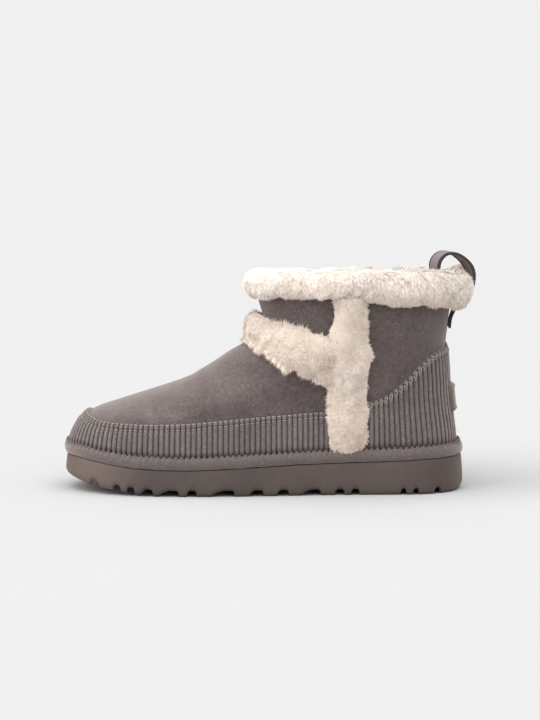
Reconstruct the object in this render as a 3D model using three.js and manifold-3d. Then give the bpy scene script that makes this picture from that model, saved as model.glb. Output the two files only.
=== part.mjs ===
// Sheepskin ankle boot for the left foot, in millimetres.
// The toe points along -X, the outer (lateral) side faces -Y, and the tread stands on z = 0.
// The upper is a stack of closed rings. Each ring runs from a front point on the ridge of the foot
// or shaft to a back point on the heel line, and all the other pieces are offsets of that surface.
import * as THREE from "three";
import { mergeVertices } from "three/addons/utils/BufferGeometryUtils.js";
import Module from "manifold-3d";

const wasm = await Module();
wasm.setup();

// ---------- driving sizes ----------
const GAP = 0.3; // between pieces that touch
const LIFT = 0.4; // of the plates' inner faces from the upper
const WALL = 7; // suede with its wool pile
const WELT_HEIGHT = 8.6; // of the suede binding above the sole
const SOLE_PROUD = 5; // widest part of the sole, outside the upper's lower edge
const RIB_THICKNESS = 1.8; // of the ribbed toe band and heel counter
const INSOLE_THICKNESS = 6;
const INSOLE_INSET = WALL + 1.4;
const STRIP = { front: 42.8, back: 68.3, crown: 9, edge: 5 }; // upright wool strip on each side
const BAND = { crown: 8.4, edge: 5, lift: 0.8 }; // wool band over the instep
const BADGE = { halfWidth: 12, low: 51.5, high: 70, thickness: 2 };
const LOOP = { width: 14, thickness: 1.4, lean: 0.4, leanFrom: 128, leanTo: 150 };
const GROOVE = { depth: 3.2, reach: 140, bow: 0.00065 };

// Rings of the upper, from the lower edge to the collar. sag is how closely a ring follows the
// sole's top line, camber how far its sides drop below its ends, swell is added to the half
// width, and shaft blends the foot's outline (0) into the shaft's oval (1).
const RINGS = [
  { level: 0, frontX: -127.8, frontZ: 24.3, backX: 127.4, backZ: 24.2, camber: 0, sag: 1, swell: 0, shaft: 0 },
  { level: 1, frontX: -128.4, frontZ: 32.4, backX: 126.4, backZ: 33.6, camber: 0, sag: 0.8, swell: 1, shaft: 0 },
  { level: 2, frontX: -125.6, frontZ: 40, backX: 125.2, backZ: 43, camber: 0.4, sag: 0.55, swell: 1, shaft: 0 },
  { level: 3, frontX: -120.8, frontZ: 47.2, backX: 123.8, backZ: 53, camber: 1.5, sag: 0.3, swell: 0.2, shaft: 0.03 },
  { level: 4, frontX: -112.4, frontZ: 53.4, backX: 122.8, backZ: 62, camber: 4, sag: 0.1, swell: -0.8, shaft: 0.08 },
  { level: 5, frontX: -96.4, frontZ: 58.8, backX: 122.1, backZ: 71, camber: 7, sag: 0, swell: -1.4, shaft: 0.18 },
  { level: 6, frontX: -77, frontZ: 65.4, backX: 121.7, backZ: 80, camber: 8.5, sag: 0, swell: -2, shaft: 0.32 },
  { level: 7, frontX: -57, frontZ: 72.4, backX: 121.1, backZ: 88, camber: 8.5, sag: 0, swell: -2.6, shaft: 0.5 },
  { level: 8, frontX: -38.5, frontZ: 81.4, backX: 120.7, backZ: 95, camber: 8, sag: 0, swell: -3, shaft: 0.68 },
  { level: 9, frontX: -23, frontZ: 91, backX: 120.9, backZ: 101, camber: 6, sag: 0, swell: -3, shaft: 0.84 },
  { level: 10, frontX: -9.5, frontZ: 98.2, backX: 121.3, backZ: 106, camber: 3.5, sag: 0, swell: -2, shaft: 0.94 },
  { level: 11, frontX: -1, frontZ: 105.5, backX: 121.6, backZ: 111.5, camber: 1.5, sag: 0, swell: -1, shaft: 1 },
  { level: 12, frontX: -1.2, frontZ: 115, backX: 122.4, backZ: 118.5, camber: 0, sag: 0, swell: 0, shaft: 1 },
  { level: 13, frontX: -3.8, frontZ: 125, backX: 124.4, backZ: 127, camber: 0, sag: 0, swell: 0, shaft: 1 },
  { level: 14, frontX: -5.5, frontZ: 136, backX: 127, backZ: 136, camber: 0, sag: 0, swell: 0, shaft: 1 },
];
const TOP = RINGS.length - 1;
const AROUND = 60; // points round the upper and the welt

// Half widths of the foot at the upper's lower edge, before its ends are rounded.
const OUTLINE = [
  { x: -130, lateral: 38, medial: 41 },
  { x: -95, lateral: 42, medial: 43 },
  { x: -60, lateral: 44.6, medial: 43.6 },
  { x: -30, lateral: 44.4, medial: 40.8 },
  { x: 5, lateral: 41, medial: 36.2 },
  { x: 40, lateral: 37, medial: 33.2 },
  { x: 75, lateral: 35, medial: 33.2 },
  { x: 105, lateral: 34.2, medial: 33.6 },
  { x: 130, lateral: 34, medial: 33.6 },
];
const SHAFT_HALF_WIDTH = 43;
// Length over which a ring's end closes, and the power of that curve: 2 is an ellipse.
const TOE_ROUND = { lateral: 64, medial: 50, power: 2.3 };
const HEEL_ROUND = { lateral: 37, medial: 37, power: 2.3 };
const SHAFT_ROUND = { front: 62, back: 60, power: 2.05 };

// Height of the sole's top and of its tread along the foot.
const SOLE_TOP = [
  { x: -131, z: 23.9 },
  { x: -122, z: 23.2 },
  { x: -105, z: 20.9 },
  { x: -86, z: 18.7 },
  { x: -56, z: 17.5 },
  { x: -19, z: 18.6 },
  { x: 17, z: 20.5 },
  { x: 50, z: 21.5 },
  { x: 87, z: 22.6 },
  { x: 111, z: 23.6 },
  { x: 131, z: 23.9 },
];
const TREAD = [
  { x: -133, z: 10.8 },
  { x: -120, z: 7.2 },
  { x: -108, z: 4.4 },
  { x: -92, z: 2.2 },
  { x: -74, z: 0.6 },
  { x: -56, z: 0 },
  { x: -20, z: 0 },
  { x: 100, z: 0 },
  { x: 116, z: 0 },
  { x: 126, z: 0.8 },
  { x: 133, z: 2.4 },
];
// The sole's side wall, from the tread up: how far inside its widest line, and where on the wall.
const SOLE_WALL = [
  { inset: 2.6, share: 0, lift: 0 },
  { inset: 0.8, share: 0, lift: 0.9 },
  { inset: 0, share: 0, lift: 3 },
  { inset: 0.5, share: 0.6, lift: 0 },
  { inset: 1.3, share: 1, lift: -0.8 },
  { inset: 2, share: 1, lift: 0 },
];
// Cross grooves that part the lugs.
const GROOVES = [
  { x: -111.8, width: 5.3 },
  { x: -96.4, width: 6 },
  { x: -86.9, width: 6 },
  { x: -75.7, width: 8.5 },
  { x: -61, width: 12.5 },
  { x: -46, width: 7 },
  { x: -25.4, width: 15 },
  { x: -3.4, width: 9.7 },
  { x: 13.8, width: 8.3 },
  { x: 32.4, width: 13 },
  { x: 50.8, width: 6.9 },
  { x: 61, width: 6 },
  { x: 92.7, width: 4.2 },
  { x: 101, width: 4.4 },
  { x: 115.5, width: 4.8 },
];

// Upper edges of the ribbed pieces.
const BAND_TOP = [
  { x: -119, z: 52.4 },
  { x: -113, z: 48.6 },
  { x: -105, z: 47 },
  { x: -88, z: 46.6 },
  { x: -66, z: 47.1 },
  { x: -49, z: 47.9 },
  { x: -31, z: 49.4 },
  { x: -7, z: 51.5 },
  { x: 17, z: 53.3 },
  { x: 43, z: 55.1 },
];
const COUNTER_TOP = [
  { x: 68, z: 60.6 },
  { x: 80.5, z: 65.6 },
  { x: 92.7, z: 75.6 },
  { x: 102.6, z: 85.4 },
  { x: 111.5, z: 92.4 },
  { x: 123, z: 96 },
];
// Edges of the wool band, by its share of the way from the instep's middle (0) to the strip (1).
const BAND_EDGES = [
  { share: 0, low: 96, high: 117.5 },
  { share: 0.25, low: 95.4, high: 113.2 },
  { share: 0.5, low: 90.6, high: 110.4 },
  { share: 0.75, low: 83, high: 107 },
  { share: 1, low: 73.2, high: 103 },
];

// Closed section of the welt: offset from the upper and height above the sole.
const WELT_SECTION = [
  { out: GAP, up: GAP },
  { out: 3, up: GAP },
  { out: 4.2, up: 1.2 },
  { out: 4.8, up: 3.4 },
  { out: 4.6, up: 5.6 },
  { out: 3.5, up: 7.6 },
  { out: 2, up: WELT_HEIGHT },
  { out: GAP, up: WELT_HEIGHT - 0.3 },
];
// Closed section of the wool cuff: offset from the shaft and height above the collar's edge.
const CUFF_SECTION = [
  { out: GAP, up: -7.6 },
  { out: 4.2, up: -8.8 },
  { out: 7.8, up: -6 },
  { out: 9, up: 0 },
  { out: 8, up: 6.5 },
  { out: 3.6, up: 11 },
  { out: -2, up: 12.6 },
  { out: -7, up: 9.6 },
  { out: -8.6, up: 4 },
  { out: -WALL, up: GAP },
  { out: GAP, up: GAP },
];
// Middle line of the pull loop, from inside the collar over the cuff and down the heel.
const LOOP_LINE = [
  { x: 114.6, z: 138 },
  { x: 113, z: 145.4 },
  { x: 114, z: 152 },
  { x: 118.2, z: 156.4 },
  { x: 124.2, z: 157 },
  { x: 130.2, z: 154 },
  { x: 135.2, z: 148.6 },
  { x: 137.9, z: 141 },
  { x: 137.6, z: 132.5 },
  { x: 132.6, z: 126 },
  { x: 127.4, z: 120.5 },
  { x: 124.3, z: 114 },
  { x: 123.2, z: 107 },
];

// ---------- the upper's surface ----------

// Value of one column of a table as a smooth curve through its rows.
function smooth(table, key, column, at) {
  const last = table.length - 1;
  let i = table.findIndex((row) => row[key] > at) - 1;
  if (at <= table[0][key]) return table[0][column];
  if (i < 0) return table[last][column];
  i = Math.min(i, last - 1);
  const slope = (j) => {
    const a = table[Math.max(j - 1, 0)];
    const b = table[Math.min(j + 1, last)];
    return (b[column] - a[column]) / (b[key] - a[key]);
  };
  const span = table[i + 1][key] - table[i][key];
  const t = (at - table[i][key]) / span;
  const h = t * t * (3 - 2 * t);
  return (
    table[i][column] * (1 - h) +
    table[i + 1][column] * h +
    span * t * (1 - t) * (slope(i) * (1 - t) - slope(i + 1) * t)
  );
}

const mix = (a, b, t) => a + (b - a) * t;
const soleTop = (x) => smooth(SOLE_TOP, "x", "z", x);
const tread = (x) => Math.max(smooth(TREAD, "x", "z", x), 0);
const roundEnd = (share, power) => (1 - (1 - Math.min(Math.max(share, 0), 1)) ** power) ** (1 / power);

function ringAt(level) {
  const row = {};
  for (const column of Object.keys(RINGS[0])) row[column] = smooth(RINGS, "level", column, level);
  return row;
}

// Half width of a ring at x on one side.
function halfWidth(x, ring, side) {
  const foot = smooth(OUTLINE, "x", side, x) + ring.swell;
  const full = mix(foot, SHAFT_HALF_WIDTH, ring.shaft);
  const power = mix(TOE_ROUND.power, SHAFT_ROUND.power, ring.shaft);
  const front = mix(TOE_ROUND[side], SHAFT_ROUND.front, ring.shaft);
  const back = mix(HEEL_ROUND[side], SHAFT_ROUND.back, ring.shaft);
  return {
    full,
    y: full * roundEnd((x - ring.frontX) / front, power) * roundEnd((ring.backX - x) / back, power),
  };
}

// Point of the upper's outside. turn is 0 at the front and PI at the heel, and grows round the
// lateral side.
function skin(turn, level) {
  const ring = ringAt(level);
  const side = Math.sin(turn) < 0 ? "medial" : "lateral";
  const share = (1 - Math.cos(turn)) / 2;
  const x = mix(ring.frontX, ring.backX, share);
  const { full, y } = halfWidth(x, ring, side);
  const straight = mix(RINGS[0].frontZ, RINGS[0].backZ, share);
  const sag = ring.sag * (soleTop(x) + GAP - straight);
  const z = mix(ring.frontZ, ring.backZ, share) + sag - ring.camber * (y / full) ** 2;
  return new THREE.Vector3(x, side === "medial" ? y : -y, z);
}

// Outward normal of that surface.
function skinNormal(turn, level) {
  const d = 0.02;
  const along = skin(turn + d, level).sub(skin(turn - d, level));
  const up = skin(turn, Math.min(level + d, TOP)).sub(skin(turn, Math.max(level - d, 0)));
  return along.cross(up).normalize();
}

// Point at an offset from the surface. At the lower edge and the collar the offset is level.
function offsetSkin(turn, level, offset) {
  const normal = skinNormal(turn, level);
  normal.z *= Math.max(Math.min(level, TOP - level, 1), 0);
  return skin(turn, level).addScaledVector(normal.normalize(), offset);
}

// Turn of the point of a ring that lies at x on one side.
function turnAt(x, level, sign) {
  const ring = ringAt(level);
  const share = (x - ring.frontX) / (ring.backX - ring.frontX);
  return sign * Math.acos(1 - 2 * Math.min(Math.max(share, 0), 1));
}

// Level where a rising function of level reaches zero.
function levelWhere(rise) {
  let low = 0;
  let high = TOP;
  for (let i = 0; i < 30; i++) {
    const middle = (low + high) / 2;
    if (rise(middle) < 0) low = middle;
    else high = middle;
  }
  return (low + high) / 2;
}
const levelAbove = (turn, height) =>
  levelWhere((level) => {
    const p = skin(turn, level);
    return p.z - soleTop(p.x) - height;
  });

// ---------- closed meshes from grids of points ----------

function geometry(points, triangles) {
  const g = new THREE.BufferGeometry();
  g.setAttribute("position", new THREE.Float32BufferAttribute(points.flatMap((p) => [p.x, p.y, p.z]), 3));
  g.setIndex(triangles);
  g.computeVertexNormals();
  return g;
}

// A ring whose section is a closed loop: point(turn, j) for j of count.
function ringBody(around, count, point) {
  const points = [];
  const triangles = [];
  for (let i = 0; i < around; i++) {
    for (let j = 0; j < count; j++) points.push(point(-Math.PI + (2 * Math.PI * i) / around, j));
  }
  for (let i = 0; i < around; i++) {
    for (let j = 0; j < count; j++) {
      const a = i * count + j;
      const b = ((i + 1) % around) * count + j;
      const c = ((i + 1) % around) * count + ((j + 1) % count);
      const d = i * count + ((j + 1) % count);
      triangles.push(a, b, c, a, c, d);
    }
  }
  return geometry(points, triangles);
}

// A curved plate: point(u, v, face) on its inner (0) and outer (1) faces, u and v from 0 to 1.
function plateBody(columns, rows, point) {
  const points = [];
  const triangles = [];
  const at = (i, j, face) => (face * (columns + 1) + i) * (rows + 1) + j;
  for (const face of [0, 1]) {
    for (let i = 0; i <= columns; i++) {
      for (let j = 0; j <= rows; j++) points.push(point(i / columns, j / rows, face));
    }
  }
  const quad = (a, b, c, d) => triangles.push(a, b, c, a, c, d);
  for (let i = 0; i < columns; i++) {
    for (let j = 0; j < rows; j++) {
      quad(at(i, j, 1), at(i + 1, j, 1), at(i + 1, j + 1, 1), at(i, j + 1, 1));
      quad(at(i, j + 1, 0), at(i + 1, j + 1, 0), at(i + 1, j, 0), at(i, j, 0));
    }
  }
  for (let i = 0; i < columns; i++) {
    quad(at(i, 0, 0), at(i + 1, 0, 0), at(i + 1, 0, 1), at(i, 0, 1));
    quad(at(i, rows, 1), at(i + 1, rows, 1), at(i + 1, rows, 0), at(i, rows, 0));
  }
  for (let j = 0; j < rows; j++) {
    quad(at(0, j, 1), at(0, j + 1, 1), at(0, j + 1, 0), at(0, j, 0));
    quad(at(columns, j, 0), at(columns, j + 1, 0), at(columns, j + 1, 1), at(columns, j, 1));
  }
  return geometry(points, triangles);
}

// A body between stacked outlines: point(turn, j), with flat rungs across its lowest and highest.
function ladderBody(rungs, layers, point) {
  const around = 2 * rungs;
  const points = [];
  const triangles = [];
  for (let j = 0; j < layers; j++) {
    for (let i = 0; i < around; i++) points.push(point((Math.PI * (i - rungs)) / rungs, j));
  }
  for (let j = 0; j + 1 < layers; j++) {
    for (let i = 0; i < around; i++) {
      const a = j * around + i;
      const b = j * around + ((i + 1) % around);
      triangles.push(a, b, b + around, a, b + around, a + around);
    }
  }
  const top = (layers - 1) * around;
  for (let i = 0; i < rungs; i++) {
    const medial = [i, i + 1];
    const lateral = [(around - i) % around, around - i - 1];
    if (i > 0) {
      triangles.push(medial[0], lateral[0], lateral[1]);
      triangles.push(top + medial[0], top + lateral[1], top + lateral[0]);
    }
    if (i < rungs - 1) {
      triangles.push(medial[0], lateral[1], medial[1]);
      triangles.push(top + medial[0], top + medial[1], top + lateral[1]);
    }
  }
  return geometry(points, triangles);
}

// ---------- solids cut with booleans ----------

function solidOf(g) {
  const bare = g.clone();
  bare.deleteAttribute("normal");
  bare.deleteAttribute("uv");
  const merged = mergeVertices(bare, 1e-4);
  return new wasm.Manifold(
    new wasm.Mesh({
      numProp: 3,
      vertProperties: merged.attributes.position.array,
      triVerts: new Uint32Array(merged.index.array),
    }),
  );
}

function geometryOf(solid) {
  const mesh = solid.getMesh();
  const g = new THREE.BufferGeometry();
  g.setAttribute("position", new THREE.BufferAttribute(mesh.vertProperties.slice(), 3));
  g.setIndex(new THREE.BufferAttribute(mesh.triVerts.slice(), 1));
  g.computeVertexNormals();
  return g;
}

// One cross groove: a round-shouldered channel, bowed towards the toe at its ends.
function grooveCutter({ x, width }) {
  const half = width / 2;
  const roof = tread(x) + GROOVE.depth;
  const shape = new THREE.Shape();
  shape.moveTo(x - half, -4);
  shape.lineTo(x - half, roof - half * 0.8);
  shape.quadraticCurveTo(x - half * 0.8, roof, x - half * 0.3, roof);
  shape.lineTo(x + half * 0.3, roof);
  shape.quadraticCurveTo(x + half * 0.8, roof, x + half, roof - half * 0.8);
  shape.lineTo(x + half, -4);
  shape.closePath();
  const cutter = new THREE.ExtrudeGeometry(shape, {
    depth: GROOVE.reach,
    steps: 4,
    curveSegments: 1,
    bevelEnabled: false,
  });
  cutter.rotateX(Math.PI / 2);
  cutter.translate(0, GROOVE.reach / 2, 0);
  const place = cutter.attributes.position;
  for (let i = 0; i < place.count; i++) place.setX(i, place.getX(i) - GROOVE.bow * place.getY(i) ** 2);
  return solidOf(cutter);
}

// ---------- the pieces ----------

function outsole() {
  const body = ladderBody(36, SOLE_WALL.length, (turn, j) => {
    const { inset, share, lift } = SOLE_WALL[j];
    const p = offsetSkin(turn, 0, SOLE_PROUD - inset);
    return p.setZ(mix(tread(p.x), soleTop(p.x), share) + lift);
  });
  return geometryOf(GROOVES.map(grooveCutter).reduce((sole, cutter) => sole.subtract(cutter), solidOf(body)));
}

function upper() {
  const outside = [0, 1, 2, 3, 4, 5, 6, 7, 8, 9, 10, 10.5, 11, 11.5, 12, 13, TOP];
  const inside = [TOP, 13, 12, 11, 10, 9, 8, 6.5, 5, 4, 3, 2, 0];
  const section = [
    ...outside.map((level) => ({ level, offset: 0 })),
    ...inside.map((level) => ({ level, offset: -WALL })),
  ];
  return ringBody(AROUND, section.length, (turn, j) => offsetSkin(turn, section[j].level, section[j].offset));
}

function weltBinding() {
  return ringBody(AROUND, WELT_SECTION.length, (turn, j) => {
    const { out, up } = WELT_SECTION[j];
    const p = offsetSkin(turn, levelAbove(turn, up), out);
    return p.setZ(soleTop(p.x) + up);
  });
}

function insole() {
  return ladderBody(28, 3, (turn, j) => {
    const rise = [GAP, INSOLE_THICKNESS - 1.5, INSOLE_THICKNESS][j];
    const inset = INSOLE_INSET + (j === 2 ? 1.5 : 0);
    const p = offsetSkin(turn, 0.5, -inset);
    return p.setZ(soleTop(p.x) + rise);
  });
}

// A ribbed plate from just above the welt to an upper edge. turnOf gives the turn for a share
// of the plate's length at a level.
function ribbedPlate(columns, rows, edge, turnOf) {
  return plateBody(columns, rows, (u, v, face) => {
    const lowLevel = levelAbove(turnOf(u, 0.9), WELT_HEIGHT + GAP);
    const highLevel = levelWhere((level) => {
      const p = skin(turnOf(u, level), level);
      return p.z - smooth(edge, "x", "z", p.x);
    });
    const level = mix(lowLevel, highLevel, v);
    return offsetSkin(turnOf(u, level), level, face ? LIFT + RIB_THICKNESS : LIFT);
  });
}

function toeBand() {
  const end = STRIP.front - GAP;
  return ribbedPlate(56, 4, BAND_TOP, (u, level) => mix(turnAt(end, level, -1), turnAt(end, level, 1), u));
}

function heelCounter() {
  const end = STRIP.back + GAP;
  return ribbedPlate(36, 5, COUNTER_TOP, (u, level) => {
    const lateral = turnAt(end, level, 1);
    return mix(lateral, 2 * Math.PI - lateral, u);
  });
}

// Thickness of a wool strip across its width: full in the middle, thinner at its edges.
const crowned = (share, { crown, edge }) => mix(edge, crown, Math.sin(Math.PI * share));

function sideStrip(sign) {
  const lowest = WELT_HEIGHT + GAP;
  const highest = RINGS[TOP].backZ + CUFF_SECTION[1].up - GAP - 0.6;
  return plateBody(5, 14, (u, v, face) => {
    const x = sign > 0 ? mix(STRIP.front, STRIP.back, u) : mix(STRIP.back, STRIP.front, u);
    const z = mix(soleTop(x) + lowest, highest, v);
    const level = levelWhere((k) => skin(turnAt(x, k, sign), k).z - z);
    const p = offsetSkin(turnAt(x, level, sign), level, face ? crowned(u, STRIP) : LIFT);
    return p.setX(x).setZ(z);
  });
}

function instepBand() {
  const end = STRIP.front - GAP;
  return plateBody(24, 6, (u, v, face) => {
    const share = Math.abs(2 * u - 1);
    const sign = u < 0.5 ? -1 : 1;
    const low = smooth(BAND_EDGES, "share", "low", share);
    const high = smooth(BAND_EDGES, "share", "high", share);
    const turnOf = (level) => turnAt(end, level, sign) * share;
    const level = levelWhere((k) => skin(turnOf(k), k).z - mix(low, high, v));
    const p = offsetSkin(turnOf(level), level, face ? crowned(v, BAND) : BAND.lift);
    return share === 1 ? p.setX(end) : p;
  });
}

function wool() {
  return ringBody(48, CUFF_SECTION.length, (turn, j) => {
    const { out, up } = CUFF_SECTION[j];
    const z = RINGS[TOP].backZ + up;
    const level = levelWhere((k) => skin(turn, k).z - Math.min(z, RINGS[TOP].backZ));
    const normal = skinNormal(turn, TOP - 1).setZ(0).normalize();
    return skin(turn, level).addScaledVector(normal, out).setZ(z);
  });
}

function heelBadge() {
  const inner = LIFT + RIB_THICKNESS + LIFT;
  return plateBody(6, 4, (u, v, face) => {
    const z = mix(BADGE.low, BADGE.high, v);
    const y = mix(-BADGE.halfWidth, BADGE.halfWidth, u);
    const middle = levelWhere((k) => skin(Math.PI, k).z - z);
    const reach = Math.abs(skin(Math.PI - 0.4, middle).y) / 0.4;
    return offsetSkin(Math.PI + y / reach, middle, face ? inner + BADGE.thickness : inner);
  });
}

function pullLoop() {
  const line = new THREE.CatmullRomCurve3(LOOP_LINE.map(({ x, z }) => new THREE.Vector3(x, z, 0)));
  const steps = 28;
  const sides = [-1, 1].map((sign) =>
    Array.from({ length: steps + 1 }, (_, i) => {
      const p = line.getPointAt(i / steps);
      const t = line.getTangentAt(i / steps);
      return new THREE.Vector2(p.x - (sign * t.y * LOOP.thickness) / 2, p.y + (sign * t.x * LOOP.thickness) / 2);
    }),
  );
  const strap = new THREE.ExtrudeGeometry(new THREE.Shape([...sides[0], ...sides[1].reverse()]), {
    depth: LOOP.width,
    steps: 2,
    bevelEnabled: false,
  });
  strap.rotateX(Math.PI / 2);
  strap.translate(0, LOOP.width / 2, 0);
  // above the cuff the strap leans, with its medial edge nearer the toe
  const place = strap.attributes.position;
  for (let i = 0; i < place.count; i++) {
    const height = THREE.MathUtils.smoothstep(place.getZ(i), LOOP.leanFrom, LOOP.leanTo);
    place.setX(i, place.getX(i) - LOOP.lean * height * place.getY(i));
  }
  return geometryOf(solidOf(strap));
}

// ---------- finishes and assembly ----------
const suede = new THREE.MeshStandardMaterial({ color: 0x7a6f6c, roughness: 0.95, metalness: 0 });
const cord = new THREE.MeshStandardMaterial({ color: 0x80746f, roughness: 0.9, metalness: 0 });
const sheepskin = new THREE.MeshStandardMaterial({ color: 0xeadfd3, roughness: 1, metalness: 0 });
const foam = new THREE.MeshStandardMaterial({ color: 0x6b605a, roughness: 0.6, metalness: 0 });
const webbing = new THREE.MeshStandardMaterial({ color: 0x6f6463, roughness: 0.85, metalness: 0 });

const boot = new THREE.Group();
function add(name, shape, material) {
  const mesh = new THREE.Mesh(shape, material);
  mesh.name = name;
  boot.add(mesh);
}
add("outsole", outsole(), foam);
add("welt_binding", weltBinding(), suede);
add("upper", upper(), suede);
add("insole", insole(), sheepskin);
add("toe_band", toeBand(), cord);
add("heel_counter", heelCounter(), cord);
add("wool_cuff", wool(), sheepskin);
add("wool_strip_lateral", sideStrip(1), sheepskin);
add("wool_strip_medial", sideStrip(-1), sheepskin);
add("wool_instep_band", instepBand(), sheepskin);
add("heel_badge", heelBadge(), suede);
add("pull_loop", pullLoop(), webbing);

// the row's origin is under the middle of the whole boot
const box = new THREE.Box3().setFromObject(boot);
const middle = box.getCenter(new THREE.Vector3());
boot.position.set(-middle.x, -middle.y, -box.min.z);

export default boot;
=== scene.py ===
"""Looks of a left sheepskin ankle boot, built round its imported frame.

The tables are in millimetres, in the last's own frame: the toe points along -X, the outer side
of the foot faces -Y, and the tread stands on z = 0. One shift along X takes them to the row's
frame.
"""

import math

import bpy
import numpy as np
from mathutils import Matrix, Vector, kdtree


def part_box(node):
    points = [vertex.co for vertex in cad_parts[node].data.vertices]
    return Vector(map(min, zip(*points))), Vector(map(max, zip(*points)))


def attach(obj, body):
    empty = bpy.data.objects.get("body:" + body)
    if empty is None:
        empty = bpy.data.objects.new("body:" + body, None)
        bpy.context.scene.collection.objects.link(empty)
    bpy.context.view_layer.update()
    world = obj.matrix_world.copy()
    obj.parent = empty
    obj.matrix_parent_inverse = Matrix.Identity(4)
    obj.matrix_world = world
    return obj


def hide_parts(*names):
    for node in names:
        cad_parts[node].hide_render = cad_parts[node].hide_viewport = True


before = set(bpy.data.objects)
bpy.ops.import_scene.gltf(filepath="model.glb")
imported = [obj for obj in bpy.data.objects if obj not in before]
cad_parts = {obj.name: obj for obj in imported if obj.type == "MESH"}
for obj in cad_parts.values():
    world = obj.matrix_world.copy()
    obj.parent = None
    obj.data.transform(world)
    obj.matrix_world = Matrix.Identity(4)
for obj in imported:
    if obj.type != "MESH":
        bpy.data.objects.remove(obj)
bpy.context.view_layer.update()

bl_info = {
    "name": "Sheepskin Ankle Boot",
    "version": (1, 0, 0),
    "blender": (4, 5, 0),
    "location": "View3D > Sidebar > Boot",
    "description": "Builds a suede and sheepskin ankle boot with its ribs, seams, wool and sole",
    "category": "Add Mesh",
}

MM = 0.001
PI = math.pi
GAP = 0.3  # between pieces that touch
WALL = 7  # suede with its wool pile
SUEDE = 1.6  # the skin alone
WELT_HEIGHT = 8.6
SOLE_PROUD = 5  # how far the sole stands out from the upper
INSOLE_THICKNESS = 6
STRIP_FRONT, STRIP_BACK = 42.8, 68.3  # x of the side strips' edges

# Rings of the upper from its lower edge to the collar:
# front x, front z, back x, back z, camber, sag, swell, shaft
RINGS = np.array([
    (-127.8, 24.3, 127.4, 24.2, 0, 1, 0, 0),
    (-128.4, 32.4, 126.4, 33.6, 0, 0.8, 1, 0),
    (-125.6, 40, 125.2, 43, 0.4, 0.55, 1, 0),
    (-120.8, 47.2, 123.8, 53, 1.5, 0.3, 0.2, 0.03),
    (-112.4, 53.4, 122.8, 62, 4, 0.1, -0.8, 0.08),
    (-96.4, 58.8, 122.1, 71, 7, 0, -1.4, 0.18),
    (-77, 65.4, 121.7, 80, 8.5, 0, -2, 0.32),
    (-57, 72.4, 121.1, 88, 8.5, 0, -2.6, 0.5),
    (-38.5, 81.4, 120.7, 95, 8, 0, -3, 0.68),
    (-23, 91, 120.9, 101, 6, 0, -3, 0.84),
    (-9.5, 98.2, 121.3, 106, 3.5, 0, -2, 0.94),
    (-1, 105.5, 121.6, 111.5, 1.5, 0, -1, 1),
    (-1.2, 115, 122.4, 118.5, 0, 0, 0, 1),
    (-3.8, 125, 124.4, 127, 0, 0, 0, 1),
    (-5.5, 136, 127, 136, 0, 0, 0, 1),
])
TOP = len(RINGS) - 1
LEVELS = np.arange(TOP + 1.0)
COLLAR_Z = RINGS[TOP, 1]
# Half widths of the foot at the upper's lower edge, before its ends are rounded:
# x, lateral, medial
OUTLINE = np.array([
    (-130, 38, 41),
    (-95, 42, 43),
    (-60, 44.6, 43.6),
    (-30, 44.4, 40.8),
    (5, 41, 36.2),
    (40, 37, 33.2),
    (75, 35, 33.2),
    (105, 34.2, 33.6),
    (130, 34, 33.6),
])
SHAFT_HALF_WIDTH = 43
# How far the round ends reach along the foot
TOE_ROUND = (64, 50)  # lateral, medial
HEEL_ROUND = 37
SHAFT_ROUND = (62, 60)  # front, back
FOOT_POWER, SHAFT_POWER = 2.3, 2.05
# Height of the sole's top along the foot: x, z
SOLE_TOP = np.array([
    (-131, 23.9), (-122, 23.2), (-105, 20.9), (-86, 18.7), (-56, 17.5), (-19, 18.6),
    (17, 20.5), (50, 21.5), (87, 22.6), (111, 23.6), (131, 23.9),
])
# Height of the tread, with its toe spring and heel spring: x, z
TREAD = np.array([
    (-133, 10.8), (-120, 7.2), (-108, 4.4), (-92, 2.2), (-74, 0.6), (-56, 0),
    (-20, 0), (100, 0), (116, 0), (126, 0.8), (133, 2.4),
])
# The sole's side wall from the tread up: inset from the widest line, share of the height, lift
SOLE_WALL = np.array([
    (2.6, 0, 0), (1.7, 0, 0.25), (0.9, 0, 0.8), (0.3, 0, 1.8), (0, 0, 3.2), (0.1, 0.35, 0),
    (0.4, 0.6, 0), (0.8, 0.82, 0), (1.1, 1, -1.1), (1.5, 1, -0.35), (2.4, 1, 0),
])
# Cross grooves that part the lugs: middle x, width, share of the width that the front slope
# takes. The wide ones deepen slowly from the toe and end steeply.
GROOVES = (
    (-112, 6.6, 0.35), (-96.4, 6, 0.3), (-86.9, 6, 0.3), (-75.7, 8.5, 0.4), (-61, 13.5, 0.5),
    (-46, 7, 0.3), (-25.4, 16, 0.5), (-3.4, 9.7, 0.35), (13.8, 8.3, 0.3), (32.4, 13, 0.5),
    (50.8, 6.9, 0.3), (61, 6, 0.3), (92.7, 4.2, 0.4), (101, 4.4, 0.4), (115.5, 4.8, 0.4),
)
GROOVE_DEPTH, GROOVE_BOW = 3.8, 0.00065
# The welt's section: out from the upper, up from the sole, share of the scallops' pull
WELT_SECTION = np.array([
    (0.3, 0.12, 0), (2, 0.06, 0), (3.4, 0.06, 0), (4.3, 0.4, 0), (4.95, 1.4, 0), (5.3, 2.8, 0),
    (5.35, 4.2, 0), (5.2, 5.3, 0.1), (4.9, 6.3, 0.25), (4.5, 7.2, 0.5), (4.05, 8, 0.8),
    (3.5, 8.6, 1), (2.9, 8.8, 1), (2.4, 8.4, 0.7), (2, 7.2, 0.2), (1.2, 4.5, 0), (0.3, 2.5, 0),
])
# Upper edge of the toe band: x, z
BAND_TOP = np.array([
    (-119, 52.4), (-113, 48.6), (-105, 47), (-88, 46.6), (-66, 47.1), (-49, 47.9),
    (-31, 49.4), (-7, 51.5), (17, 53.3), (43, 55.1),
])
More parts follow.
